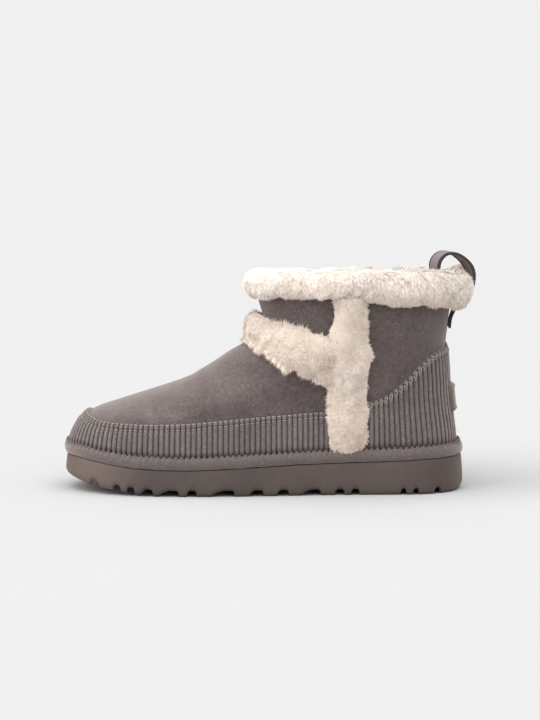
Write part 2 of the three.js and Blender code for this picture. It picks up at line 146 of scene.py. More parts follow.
# Upper edge of the heel counter: x, z
COUNTER_TOP = np.array([
    (68, 60.6), (80.5, 65.6), (92.7, 75.6), (102.6, 85.4), (111.5, 92.4), (123, 96),
])
# Stitches of a panel's seam: rib phase and distance below the edge, at both ends, and lift
SEAM_ROWS = (0.9, 4.9)
ROW_STITCHES = tuple((0.08, row, 0.92, row, 1.95) for row in SEAM_ROWS)
ZIGZAG_STITCHES = ((0.05, 1.5, 0.45, 4.3, 2.35), (0.5, 4.3, 0.9, 1.5, 2.35))
# Trim over the back of the heel: half width, low z, high z
BACK_STRIP = (8.5, 31.5, 97)
HEEL_PATCH = (12.4, 51.2, 70.3)
# The instep wool's edges: share of the way from the middle to the strip, low z, high z
BAND_EDGES = np.array([
    (0, 96, 117.5), (0.25, 95.4, 113.2), (0.5, 90.6, 110.4), (0.75, 83, 107), (1, 73.2, 103),
])
# Lower edge of the wool cuff along the shaft: x, z
CUFF_EDGE = np.array([
    (-14, 128.4), (-2, 129.4), (12, 131.4), (24, 133), (38, 132), (56, 131.6),
    (70, 129.6), (84, 127.6), (102, 126.6), (115, 125.6), (138, 124.8),
])
# The cuff's section under the strands: out from the shaft, up as a share of the way from the
# lower edge to the crest, extra up
CUFF_SECTION = np.array([
    (0.6, 0, 0.5), (3, 0, 0.1), (5.2, 0.08, 0), (6.7, 0.22, 0), (7.3, 0.4, 0), (7.2, 0.58, 0),
    (6.5, 0.74, 0), (4.9, 0.88, 0), (2.6, 0.97, 0), (0, 1, 0), (-2.4, 0.995, 0),
    (-4.8, 0.95, 0), (-6.8, 0.84, 0), (-7.9, 0.66, 0), (-8, 0.44, 0), (-7.7, 0.22, 0),
])
CUFF_CREST = 144.9
# Rows that close the cuff's pile over the collar: level of the skin, out, above the collar
CUFF_CLOSING = np.array([(13.6, -6.6, 1), (13, -3, 0.6), (12.8, 0.4, -3)])
# Middle line of the pull loop: x, z
LOOP_LINE = np.array([
    (114.6, 138), (113, 145.4), (114, 152), (118.2, 156.4), (124.2, 157), (130.2, 154),
    (135.2, 148.6), (137.9, 141), (137.6, 132.5), (132.6, 126), (127.4, 120.5),
    (124.3, 114), (123.2, 107),
])
LOOP_HALF_WIDTH, LOOP_HALF_THICKNESS = 7.0, 0.62
LOOP_LEAN, LOOP_LEAN_FROM, LOOP_LEAN_TO = 0.4, 128, 150
FRAME_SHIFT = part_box("outsole")[0][0] / MM - (RINGS[0, 0] - SOLE_PROUD)


# ---------- settings a user would change ----------


def linear(hex_colour):
    """Linear red, green and blue of an sRGB hex colour."""
    parts = [int(hex_colour[i : i + 2], 16) / 255 for i in (1, 3, 5)]
    return tuple(p / 12.92 if p <= 0.04045 else ((p + 0.055) / 1.055) ** 2.4 for p in parts)


def colour(name, description, hex_colour):
    settings = {"subtype": "COLOR", "size": 3, "min": 0, "max": 1, "default": linear(hex_colour)}
    return bpy.props.FloatVectorProperty(name=name, description=description, **settings)


def length(name, description, millimetres):
    settings = {"unit": "LENGTH", "min": 0, "precision": 4, "default": millimetres * MM}
    return bpy.props.FloatProperty(name=name, description=description, **settings)


class BootSuede(bpy.types.PropertyGroup):
    deep: colour("Deep nap", "Suede where the nap lies flat", "#473d3c")
    brushed: colour("Brushed nap", "Suede where a hand has brushed the nap up", "#675d5b")
    rib_deep: colour("Deep ribs", "Ribbed suede where the nap lies flat", "#5f5655")
    rib_brushed: colour("Brushed ribs", "Ribbed suede where the nap stands up", "#79706e")
    # groove: the pressed nap's darker colour, also used as painted shade in the ribs' grooves,
    # along their seams and low on the panels
    groove: colour("Groove", "Suede pressed down between two ribs", "#211b1a")
    thread: colour("Thread", "Sewing thread, lighter than the suede", "#a59b95")
    rib_pitch: length("Rib pitch", "Distance from one rib to the next", 3.5)
    rib_height: length("Rib height", "Height of a rib over its groove", 1.4)
    thread_width: length("Thread width", "Diameter of the sewing thread", 0.8)


class BootWool(bpy.types.PropertyGroup):
    # on the cuff, the lighter tones at the crest and inside are partly painted light, and the
    # darker ones low on its outside partly painted shade
    white: colour("White", "Lightest wool, at the crest", "#faf6f1")
    ivory: colour("Ivory", "Light wool, at most tips", "#f2e8df")
    cream: colour("Cream", "Main colour of the wool", "#e9dacc")
    oat: colour("Oat", "Warmer wool low in the pile", "#dccabb")
    root: colour("Root", "Darkest wool, next to the skin", "#cbb5a6")
    strand: length("Strand length", "Length of a strand of wool", 5)
    strand_width: length("Strand width", "Width of a strand at its root", 0.5)
    strands: bpy.props.IntProperty(
        name="Strands",
        description="Strands on each large piece of wool",
        min=1000,
        max=66000,
        default=58000,
    )


class BootSole(bpy.types.PropertyGroup):
    foam: colour("Foam", "Moulded foam rubber", "#463b37")
    scuffed: colour("Scuffed foam", "Foam where it is rubbed", "#50443f")
    # painted light: paler, warmer foam at both ends of the sole, where the side lamps fall
    painted_end_light: colour("Rubbed ends", "Foam at both ends, rubbed paler and warmer", "#63544c")
    ribbon: colour("Ribbon", "Woven ribbon of the pull loop", "#847b79")
    ribbon_edge: colour("Ribbon edge", "Darker woven edge of the ribbon", "#352e2d")


class BootStage(bpy.types.PropertyGroup):
    surround: colour("Surround", "Pale backdrop all round", "#f0f0f0")
    floor: colour("Floor", "Paint of the studio floor, before its light", "#bcbcbc")
    radius: length("Floor radius", "Radius at which the floor has faded out", 900)


# ---------- the last's surface ----------


def mix(a, b, share):
    return a + (b - a) * share


def climb(value, start, span):
    """0 up to start, 1 from a span beyond it, and straight between. A negative span turns back."""
    return np.clip((value - start) / span, 0, 1)


def bump_at(value, place, width):
    """1 at a place, falling smoothly to 0 a few widths away."""
    return np.exp(-(((value - place) / width) ** 2))


def smooth(keys, values, at):
    """Value on the smooth curve through a table's rows."""
    last = len(keys) - 1
    at = np.clip(at, keys[0], keys[-1])
    row = np.clip(np.searchsorted(keys, at, side="right") - 1, 0, last - 1)
    before = np.maximum(np.arange(last + 1) - 1, 0)
    after = np.minimum(np.arange(last + 1) + 1, last)
    slope = (values[after] - values[before]) / (keys[after] - keys[before])
    span = keys[row + 1] - keys[row]
    t = (at - keys[row]) / span
    ease = t * t * (3 - 2 * t)
    bend = span * t * (1 - t) * (slope[row] * (1 - t) - slope[row + 1] * t)
    return values[row] * (1 - ease) + values[row + 1] * ease + bend


def along(table, at, column=1):
    return smooth(table[:, 0], table[:, column], at)


def ring(column, level):
    """Value of a column of the rings' table at a level."""
    return smooth(LEVELS, RINGS[:, column], level)


def sole_top(x):
    return along(SOLE_TOP, x)


def tread(x):
    return np.maximum(along(TREAD, x), 0)


def round_end(share, power):
    return (1 - (1 - np.clip(share, 0, 1)) ** power) ** (1 / power)


def skin(turn, level):
    """Points of the upper's outside. turn is 0 at the front and grows round the lateral side."""
    turn, level = np.broadcast_arrays(np.asarray(turn, float), np.asarray(level, float))
    columns = [ring(column, level) for column in range(RINGS.shape[1])]
    front_x, front_z, back_x, back_z, camber, sag, swell, shaft = columns
    share = (1 - np.cos(turn)) / 2
    medial = np.sin(turn) < 0
    x = mix(front_x, back_x, share)
    foot = np.where(medial, along(OUTLINE, x, 2), along(OUTLINE, x, 1)) + swell
    full = mix(foot, SHAFT_HALF_WIDTH, shaft)
    power = mix(FOOT_POWER, SHAFT_POWER, shaft)
    front = mix(np.where(medial, TOE_ROUND[1], TOE_ROUND[0]), SHAFT_ROUND[0], shaft)
    back = mix(HEEL_ROUND, SHAFT_ROUND[1], shaft)
    y = full * round_end((x - front_x) / front, power) * round_end((back_x - x) / back, power)
    straight = mix(RINGS[0, 1], RINGS[0, 3], share)
    z = mix(front_z, back_z, share) + sag * (sole_top(x) + GAP - straight)
    z = z - camber * (y / full) ** 2
    return np.stack([x, np.where(medial, y, -y), z], axis=-1)


def unit(vectors):
    return vectors / np.maximum(np.linalg.norm(vectors, axis=-1, keepdims=True), 1e-9)


def dot(a, b):
    return np.einsum("ij,ij->i", a, b)


def skin_normal(turn, level):
    step = 0.02
    level = np.asarray(level, float)
    across = skin(turn + step, level) - skin(turn - step, level)
    up = skin(turn, np.minimum(level + step, TOP)) - skin(turn, np.maximum(level - step, 0))
    return unit(np.cross(across, up))


def offset_skin(turn, level, offset):
    """Points at an offset from the surface, level with the floor at its two edges."""
    turn, level = np.broadcast_arrays(np.asarray(turn, float), np.asarray(level, float))
    normal = skin_normal(turn, level)
    normal[..., 2] *= np.clip(np.minimum(level, TOP - level), 0, 1)
    return skin(turn, level) + unit(normal) * np.asarray(offset, float)[..., None]


def level_where(rise, shape):
    """Level at which a function that rises with level passes zero."""
    low, high = np.zeros(shape), np.full(shape, float(TOP))
    for _ in range(22):
        middle = (low + high) / 2
        below = rise(middle) < 0
        low, high = np.where(below, middle, low), np.where(below, high, middle)
    return (low + high) / 2


def level_at_height(turn, z):
    turn, z = np.broadcast_arrays(turn, z)
    return level_where(lambda level: skin(turn, level)[..., 2] - z, turn.shape)


def level_above_sole(turn, height):
    turn, height = np.broadcast_arrays(turn, height)

    def rise(level):
        points = skin(turn, level)
        return points[..., 2] - sole_top(points[..., 0]) - height

    return level_where(rise, turn.shape)


def turn_at(x, level, side):
    """Turn of the point of a ring at x. side is 1 for lateral and -1 for medial."""
    front, back = ring(0, level), ring(2, level)
    return side * np.arccos(1 - 2 * np.clip((x - front) / (back - front), 0, 1))


def all_turns(count):
    """Even turns all the way round, as a column."""
    return np.linspace(-PI, PI, count, endpoint=False)[:, None]


def run_along(line):
    """Distance along a line of points, from its first to each."""
    return np.concatenate([[0], np.cumsum(np.linalg.norm(np.diff(line, axis=0), axis=1))])


def lumps(points, size, seed):
    """Smooth random field from about -1 to 1 whose lumps are about one size across."""
    rng = np.random.default_rng(seed)
    waves = unit(rng.normal(size=(14, 3))) * (2 * PI / (size * rng.uniform(0.8, 2, (14, 1))))
    phase = rng.uniform(0, 2 * PI, 14)
    return np.sin(points @ waves.T + phase).sum(axis=-1) / 3.5


# ---------- meshes ----------


def add_mesh(name, points, faces, materials, uv=None, slots=None, normals=None):
    """Adds a mesh piece. faces is a list of arrays, each of polygons with one corner count."""
    corners = np.concatenate([f.ravel() for f in faces]).astype(np.int32)
    sizes = np.concatenate([np.full(len(f), f.shape[1]) for f in faces])
    place = (points.reshape(-1, 3) + np.array([FRAME_SHIFT, 0, 0])) * MM
    mesh = bpy.data.meshes.new(name)
    mesh.vertices.add(len(place))
    mesh.vertices.foreach_set("co", place.astype(np.float32).ravel())
    mesh.loops.add(len(corners))
    mesh.loops.foreach_set("vertex_index", corners)
    mesh.polygons.add(len(sizes))
    mesh.polygons.foreach_set("loop_start", (np.cumsum(sizes) - sizes).astype(np.int32))
    mesh.polygons.foreach_set("use_smooth", np.ones(len(sizes), bool))
    for material in materials:
        mesh.materials.append(material)
    if slots is not None:
        mesh.polygons.foreach_set("material_index", slots.astype(np.int32))
    if uv is not None:
        layer = mesh.uv_layers.new(name="OFBake")
        layer.uv.foreach_set("vector", uv.astype(np.float32).ravel())
    mesh.update(calc_edges=True)
    if normals is not None:
        mesh.normals_split_custom_set_from_vertices(normals.astype(np.float32))
    piece = bpy.data.objects.new(name, mesh)
    bpy.context.scene.collection.objects.link(piece)
    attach(piece, "root")
    return piece


def loft(name, parts, material, closed=True, attributes=None):
    """A closed body from looped sections. parts are joined along each loop; the points[i, j] that
    this gives have their loop along j. attributes holds names and a value for each point."""
    points = np.concatenate(parts, axis=1)
    columns, rows = points.shape[:2]
    width = columns if closed else columns - 1
    i, j = np.meshgrid(np.arange(width), np.arange(rows), indexing="ij")
    i, j = i.ravel(), j.ravel()
    here, there, j_next = i * rows, (i + 1) % columns * rows, (j + 1) % rows
    faces = [np.stack([here + j, there + j, there + j_next, here + j_next], axis=-1)]
    uv_u = np.stack([i, i + 1, i + 1, i], axis=-1) / width
    uv_v = np.stack([j, j, j + 1, j + 1], axis=-1) / rows * 0.96
    uv = np.stack([uv_u, uv_v], axis=-1).reshape(-1, 2)
    if not closed:
        loop = np.arange(rows)
        faces += [loop[None], (loop[::-1] + (columns - 1) * rows)[None]]
        cap = np.stack([loop / rows * 0.45, 0.98 + 0.01 * (loop % 2)], axis=-1)
        uv = np.concatenate([uv, cap, cap + np.array([0.5, 0])])
    piece = add_mesh(name, points, faces, [material], uv)
    for key, values in (attributes or {}).items():
        layer = piece.data.attributes.new(key, "FLOAT", "POINT")
        layer.data.foreach_set("value", values.astype(np.float32).ravel())
    return piece


def stitch_shape(starts, ends, outward, width, rise):
    """Points of tapered thread segments, as rings of points along each."""
    rings, sides = 5, 5
    t = np.linspace(0, 1, rings)
    axis = unit(ends - starts)
    side = unit(np.cross(axis, outward))
    over = np.cross(side, axis)
    centre = mix(starts[:, None], ends[:, None], t[None, :, None])
    centre = centre + over[:, None] * (rise * np.sin(PI * t))[None, :, None]
    radius = width / 2 * np.sqrt(np.maximum(1 - np.abs(2 * t - 1) ** 3, 0.1))
    angle = (np.arange(sides) * 2 * PI / sides)[None, :, None]
    section = side[:, None] * np.cos(angle) + over[:, None] * np.sin(angle)
    return centre[:, :, None] + section[:, None] * radius[None, :, None, None]


def add_stitches(name, groups, material):
    """One piece of sewn thread. groups is a list of (starts, ends, outward, width, rise)."""
    shapes = np.concatenate([stitch_shape(*group) for group in groups])
    count, rings, sides = shapes.shape[:3]
    s, k, m = np.meshgrid(np.arange(count), np.arange(rings - 1), np.arange(sides), indexing="ij")
    s, k, m = s.ravel(), k.ravel(), m.ravel()
    near, far = (s * rings + k) * sides, (s * rings + k + 1) * sides
    quads = np.stack([near + m, near + (m + 1) % sides, far + (m + 1) % sides, far + m], axis=-1)
    first = np.arange(count)[:, None] * rings * sides + np.arange(sides)[None, ::-1]
    last = (np.arange(count)[:, None] + 1) * rings * sides - sides + np.arange(sides)[None]
    return add_mesh(name, shapes, [quads, first, last], [material])


# ---------- materials ----------


def add_node(tree, kind, inputs=None, **settings):
    """Adds a shader node with its settings; inputs hold values or the sockets that feed it."""
    node = tree.nodes.new(kind)
    for name, value in settings.items():
        setattr(node, name, value)
    for name, value in (inputs or {}).items():
        if isinstance(value, bpy.types.NodeSocket):
            tree.links.new(value, node.inputs[name])
        else:
            node.inputs[name].default_value = value
    return node


def opaque(rgb):
    return (*rgb, 1)


def new_material(name):
    """A material and its empty node tree."""
    material = bpy.data.materials.new(name)
    material.use_nodes = True
    material.node_tree.nodes.clear()
    return material, material.node_tree


def places(tree):
    """The socket that gives each point's place in metres."""
    return add_node(tree, "ShaderNodeTexCoord").outputs["Object"]


def finish_surface(material, inputs, kind="ShaderNodeBsdfPrincipled"):
    """The material, with its last shader and the output that it feeds."""
    shader = add_node(material.node_tree, kind, inputs)
    add_node(material.node_tree, "ShaderNodeOutputMaterial", {"Surface": shader.outputs[0]})
    return material


def add_noise(tree, place, size, detail, roughness=0.5, distortion=0.0):
    """Cloudy noise with lumps of about a size in millimetres."""
    inputs = {"Vector": place, "Scale": 1 / (size * MM), "Detail": detail}
    inputs |= {"Roughness": roughness, "Distortion": distortion}
    return add_node(tree, "ShaderNodeTexNoise", inputs).outputs["Fac"]


def add_ramp(tree, value, low, high, to_low=0.0, to_high=1.0, kind="LINEAR"):
    """Takes a value's range from low to high to another range."""
    inputs = {"Value": value, "From Min": low, "From Max": high}
    inputs |= {"To Min": to_low, "To Max": to_high}
    return add_node(tree, "ShaderNodeMapRange", inputs, interpolation_type=kind).outputs[0]


def add_mix(tree, share, first, second, kind="MIX"):
    """Mixes two colours."""
    inputs = {"Factor": share, 6: first, 7: second}
    return add_node(tree, "ShaderNodeMix", inputs, data_type="RGBA", blend_type=kind).outputs[2]


def add_bump(tree, height, strength, millimetres, **under):
    """Normals bumped by a height, over those of Normal where it is given."""
    inputs = {"Height": height, "Strength": strength, "Distance": millimetres * MM, **under}
    return add_node(tree, "ShaderNodeBump", inputs).outputs["Normal"]


def suede_material(name, deep, brushed, ribbed=False):
    """Napped suede: split leather sanded to a short velvety nap. The nap scatters light at
    grazing angles and takes brush marks, so tone drifts in patches with a fine grain on top."""
    colours = bpy.context.scene.boot_suede
    material, tree = new_material(name)
    place = places(tree)
    patches = add_noise(tree, place, 38, 2, 0.6, 0.5)
    strokes = add_noise(tree, place, 3.2, 4, 0.6, 0.4)
    grain = add_noise(tree, place, 1.2, 4, 0.6)
    nap = add_noise(tree, place, 0.7, 2, 0.6)
    drift = add_node(tree, "ShaderNodeMath", {0: patches, 1: 0.55}, operation="MULTIPLY")
    inputs = {0: strokes, 1: 0.45, 2: drift.outputs[0]}
    drift = add_node(tree, "ShaderNodeMath", inputs, operation="MULTIPLY_ADD")
    tone = add_ramp(tree, drift.outputs[0], 0.22, 0.78, kind="SMOOTHSTEP")
    base = add_mix(tree, tone, opaque(getattr(colours, deep)), opaque(getattr(colours, brushed)))
    speck = add_ramp(tree, grain, 0.25, 0.75, 0.6, 1.4)
    base = add_mix(tree, 1.0, base, speck, "MULTIPLY")
    if ribbed:
        # the ribbed panels turn toward the groove colour: partly pressed nap, partly painted shade
        # in the grooves and at the panels' foot
        groove_nap_and_shade = add_node(tree, "ShaderNodeAttribute", attribute_name="groove_nap_and_shade").outputs["Fac"]
        base = add_mix(tree, groove_nap_and_shade, base, opaque(colours.groove))
    coarse = add_bump(tree, grain, 0.5, 0.5)
    inputs = {
        "Base Color": base,
        "Roughness": 0.92,
        "IOR": 1.4,
        "Specular IOR Level": 0.2,
        "Sheen Weight": 0.75,
        "Sheen Roughness": 0.5,
        "Sheen Tint": opaque(linear("#ded3cf")),
        "Normal": add_bump(tree, nap, 0.6, 0.25, Normal=coarse),
    }
    return finish_surface(material, inputs)


def thread_material(name):
    """Spun polyester thread: a soft low gloss, with its twist drawn as a fine slanted wave of
    painted shade.
    """
    material, tree = new_material(name)
    place = places(tree)
    inputs = {"Vector": place, "Scale": 1 / (4 * MM), "Distortion": 1.5}
    twist = add_node(tree, "ShaderNodeTexWave", inputs, bands_direction="DIAGONAL")
    shade = bpy.context.scene.boot_suede.thread
    # painted shade in the hollows of the twist
    twist_shade = opaque([0.7 * part for part in shade])
    base = add_mix(tree, twist.outputs["Fac"], twist_shade, opaque(shade))
    return finish_surface(material, {"Base Color": base, "Roughness": 0.7})


def strand_material(name, tone):
    """Strands of sheep's wool, scoured and tumbled: matt and soft, so light spreads over the
    sheen. Each strand has one tone at its root and a lighter one at its tip."""
    material, _ = new_material(name)
    inputs = {
        "Base Color": opaque(getattr(bpy.context.scene.boot_wool, tone)),
        "Roughness": 0.95,
        "Specular IOR Level": 0.1,
        "Sheen Weight": 0.25,
        "Sheen Roughness": 0.6,
    }
    return finish_surface(material, inputs)


def fleece_material(name):
    """Dense wool pile seen between the strands: warm, with painted shade in its hollows."""
    wool = bpy.context.scene.boot_wool
    material, tree = new_material(name)
    place = places(tree)
    tufts = add_noise(tree, place, 4, 3, 0.65)
    fibres = add_noise(tree, place, 0.9, 2)
    # the same noise lifts the bump, so the darker oat tone lies in the hollows as painted shade
    tone = add_ramp(tree, tufts, 0.35, 0.62)
    coarse = add_bump(tree, tufts, 0.7, 1.2)
    inputs = {
        "Base Color": add_mix(tree, tone, opaque(wool.oat), opaque(wool.ivory)),
        "Roughness": 0.98,
        "Specular IOR Level": 0.1,
        "Sheen Weight": 0.2,
        "Normal": add_bump(tree, fibres, 0.6, 0.4, Normal=coarse),
    }
    return finish_surface(material, inputs)


def foam_material(name):
    """Moulded foam rubber: an even, slightly satin skin with a faint orange-peel texture, with
    painted light that makes it paler and warmer at the toe and the heel."""
    colours = bpy.context.scene.boot_sole
    material, tree = new_material(name)
    place = places(tree)
    tone = add_ramp(tree, add_noise(tree, place, 26, 4), 0.35, 0.7)
    base = add_mix(tree, tone, opaque(colours.foam), opaque(colours.scuffed))
    toe, heel = (corner[0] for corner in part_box("outsole"))
    toward_heel = add_node(tree, "ShaderNodeSeparateXYZ", {"Vector": place}).outputs["X"]
    # painted light, paler and warmer toward the toe and the heel
    for full, none, most in (
        (toe + 12 * MM, toe + 60 * MM, 1.0),
        (heel - 2 * MM, heel - 14 * MM, 0.7),
    ):
        rubbed = add_ramp(tree, toward_heel, none, full, to_high=most, kind="SMOOTHSTEP")
        base = add_mix(tree, rubbed, base, opaque(colours.painted_end_light))
    inputs = {
        "Base Color": base,
        "Roughness": 0.5,
        "IOR": 1.5,
        "Specular IOR Level": 0.4,
        "Normal": add_bump(tree, add_noise(tree, place, 0.8, 2), 0.25, 0.1),
    }
    return finish_surface(material, inputs)


def ribbon_material(name):
    """Woven polyester ribbon: fine cross ribs and darker woven edges."""
    weave = 0.9  # millimetres from one cross rib to the next, a little coarser than real
    colours = bpy.context.scene.boot_sole
    material, tree = new_material(name)
    lengthwise, across = (
        add_node(tree, "ShaderNodeAttribute", attribute_name=way).outputs["Fac"]
        for way in ("along", "across")
    )
    inputs = {0: lengthwise, 1: 2 * PI / weave}
    phase = add_node(tree, "ShaderNodeMath", inputs, operation="MULTIPLY")
    rib = add_node(tree, "ShaderNodeMath", {0: phase.outputs[0]}, operation="SINE").outputs[0]
    edge = add_ramp(tree, across, 0.7, 0.82)
    base = add_mix(tree, edge, opaque(colours.ribbon), opaque(colours.ribbon_edge))
    # painted shade between the cross ribs and painted highlight on them
    shade = add_ramp(tree, rib, -1.0, 1.0, 0.72, 1.1)
    inputs = {
        "Base Color": add_mix(tree, 1.0, base, shade, "MULTIPLY"),
        "Roughness": 0.75,
        "Normal": add_bump(tree, rib, 0.6, 0.15),
    }
    return finish_surface(material, inputs)


def shared(name, make, *args):
    """The named material, made the first time it is asked for."""
    return bpy.data.materials.get(name) or make(name, *args)


def napped_suede():
    return shared("napped_suede", suede_material, "deep", "brushed")


def rolled_suede():
    return shared("rolled_suede", suede_material, "brushed", "rib_deep")


def ribbed_suede():
    return shared("embossed_suede", suede_material, "rib_deep", "rib_brushed", True)


def thread():
    return shared("polyester_thread", thread_material)


def fleece():
    return shared("wool_fleece", fleece_material)


WOOL_TONES = ("white", "ivory", "cream", "oat", "root")


def strand_palette():
    return [shared("wool_strand_" + tone, strand_material, tone) for tone in WOOL_TONES]


# ---------- suede upper and its trim ----------


def creases(points):
    """Soft troughs and swells of worn-soft suede: where the vamp meets the leg, on the toes and
    over the shaft."""
    x, y, z = points[..., 0], points[..., 1], points[..., 2]
    side = np.abs(y) / 45
    vamp = climb(x, 70, -60) * climb(z, 50, 10)
    depth = 0.5 * lumps(points, 46, 3) * vamp
    depth -= 0.9 * bump_at(x + 0.5 * z, -14, 6) * np.clip(1.1 - side, 0, 1) * vamp
    depth -= 0.55 * bump_at(x + 0.35 * z, 6, 4) * bump_at(side, 0.75, 0.3) * vamp
    depth += 0.5 * bump_at(x + 0.4 * z, -4, 4) * bump_at(side, 0.7, 0.35) * vamp
    upright = np.array([1, 1, 0.4])  # lumps drawn out along the leg
    depth += 0.45 * lumps(points * upright, 30, 5) * climb(z, 98, 10)
    return depth


class BOOT_OT_upper(bpy.types.Operator):
    """Builds the suede upper with its soft creases"""

    bl_idname = "boot.upper"
    bl_label = "Suede Upper"

    def execute(self, context):
        turn = all_turns(300)
        outer = np.concatenate([np.linspace(0, 6, 44), np.linspace(6, TOP, 54)[1:]])[None]
        face = offset_skin(turn, outer, creases(skin(turn, outer)))
        back = offset_skin(turn, np.linspace(TOP, 0, 10)[None], -SUEDE)
        piece = loft("suede_upper", [face, back], napped_suede())
        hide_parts("upper")
        return {"FINISHED"}


def rib_columns(turn_of, pitch):
    """Turn shares and rib phases of columns that follow the ribs, eight to a rib."""
    share = np.linspace(0, 1, 3000)
    run = run_along(skin(turn_of(share, 1.6), 1.6))
    ribs = round(run[-1] / pitch)
    within = np.array([0, 0.06, 0.15, 0.3, 0.5, 0.7, 0.85, 0.94])
    phase = np.append((np.arange(ribs)[:, None] + within).ravel(), ribs)
    return np.interp(phase / ribs, run / run[-1], share), phase


def ribbed_panel(name, node, edge, turn_of, rib_pitch, rib_height):
    """A ribbed suede panel from the welt to its sewn upper edge. Gives the function that finds
    places on its seam, and the count of its ribs."""
    share, phase = (column[:, None] for column in rib_columns(turn_of, rib_pitch))
    low = level_above_sole(turn_of(share, 0.9), WELT_HEIGHT - 1.6)

    def over_edge(level):
        points = skin(turn_of(share, level), level)
        return points[..., 2] - along(edge, points[..., 0])

    high = level_where(over_edge, share.shape)
    bottom, top = skin(turn_of(share, low), low), skin(turn_of(share, high), high)
    height = np.linalg.norm(top - bottom, axis=-1)
    # rows as distances down from the edge, close together over the seam
    seam = (0, 0.25, 0.6, 1, 1.5, 2.2, 3, 3.8, 4.4, 4.9, 5.4, 6.2)
    fixed = np.broadcast_to(np.array(seam), (len(share), len(seam)))
    spread = mix(7.4, height, np.linspace(0, 1, 16)[None])
    down = np.concatenate([fixed, spread], axis=1)[:, ::-1]
    level = high - (high - low) * down / height
    turn = turn_of(share, level)
    round_rib = np.sqrt(np.clip(1 - np.abs(2 * (phase % 1) - 1) ** 2.6, 0, 1))
    sewn = np.maximum(*(bump_at(down, row, 0.6) for row in SEAM_ROWS))
    rise = rib_height * round_rib * (1 - 0.7 * sewn) - 0.2 * sewn
    # the strip and the patch over the heel press the ribs flat
    place = skin(turn, level)
    reach = BACK_STRIP[0] + 2 + 4.2 * climb(np.abs(place[..., 2] - 60.7), 13.5, -2)
    covered = climb(np.abs(place[..., 1]), reach, -2.5) * (place[..., 0] > 100)
    rise = rise * (1 - 0.85 * covered)
    roll = np.sqrt(np.clip(down / 0.9, 0.02, 1))  # the edge turns in over the suede below
    foot = climb(down, height, -3.5) ** 0.6
    face = offset_skin(turn, level, 0.5 + (0.75 + rise) * roll * mix(0.35, 1, foot))
    inner_level = mix(high, low, np.array([0, 0.35, 0.7, 1])[None])
    back = offset_skin(turn_of(share, inner_level), inner_level, 0.25)
    # darker in the grooves and along the seam rows: partly the pressed nap's own colour, partly
    # painted shade
    groove_nap_and_shade = np.clip(1.35 * (1 - round_rib) ** 0.8 + 0.25 * sewn, 0, 1)
    # painted shade low on the panel, next to the welt
    low_shade = np.clip(1 - (height - down) / 4.5, 0, 1)
    groove_nap_and_shade = np.clip(groove_nap_and_shade + 0.75 * low_shade, 0, 1)
    groove_nap_and_shade = np.concatenate([groove_nap_and_shade, np.zeros(back.shape[:2])], axis=1)
    piece = loft(name, [face, back], ribbed_suede(), closed=False, attributes={"groove_nap_and_shade": groove_nap_and_shade})
    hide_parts(node)

    def seam_points(at_phase, distance, lift):
        """Places on the seam at rib phases, a distance below the edge, and their normals."""
        s, upper, lower, tall = (
            np.interp(at_phase, phase[:, 0], column[:, 0]) for column in (share, high, low, height)
        )
        here = upper - (upper - lower) * distance / tall
        where = turn_of(s, here)
        return offset_skin(where, here, lift), skin_normal(where, here)

    return seam_points, int(phase[-1, 0])


def panel_seams(seam_points, ribs, width, zigzag):
    """Thread groups of a panel's seam: two rows of stitches, with or without a zigzag between."""
    groups = []
    count = np.arange(ribs)
    # the back strip hides the seam's middle
    at_heel, _ = seam_points(count + 0.5, 2.5, 0)
    count = count[(at_heel[:, 0] < 100) | (np.abs(at_heel[:, 1]) > BACK_STRIP[0])]
    for first, above, second, below, lift in ROW_STITCHES + (ZIGZAG_STITCHES if zigzag else ()):
        starts, outward = seam_points(count + first, above, lift)
        ends, _ = seam_points(count + second, below, lift)
        groups.append((starts, ends, outward, width * 0.9, 0.35))
    return groups


def toe_turns(share, level):
    """Turns of the toe band's ribs: upright along the sides, and leaning with the toe's tip."""
    end, foot = STRIP_FRONT - GAP, 1.6
    start = mix(turn_at(end, foot, -1), turn_at(end, foot, 1), share)
    low, back, here = ring(0, foot), ring(2, foot), ring(0, level)
    lean = (here - low) * np.exp(-((start / 0.6) ** 2))
    return turn_at(low + (back - low) * (1 - np.cos(start)) / 2 + lean, level, np.sign(start))


def heel_turns(share, level):
    lateral = turn_at(STRIP_BACK + GAP, level, 1)
    return mix(lateral, 2 * PI - lateral, share)


class BOOT_OT_ribbed_panels(bpy.types.Operator):
    """Builds the ribbed toe band and heel counter with their sewn upper edges"""

    bl_idname = "boot.ribbed_panels"
    bl_label = "Ribbed Panels"

    def execute(self, context):
        suede = context.scene.boot_suede
        sizes = suede.rib_pitch, suede.rib_height, suede.thread_width
        pitch, tall, width = (size / MM for size in sizes)
        for name, node, edge, turn_of, zigzag in (
            ("ribbed_toe_band", "toe_band", BAND_TOP, toe_turns, False),
            ("ribbed_heel_counter", "heel_counter", COUNTER_TOP, heel_turns, True),
        ):
            seam_points, ribs = ribbed_panel(name, node, edge, turn_of, pitch, tall)
            groups = panel_seams(seam_points, ribs, width, zigzag)
            seams = add_stitches(name + "_seams", groups, thread())
        return {"FINISHED"}


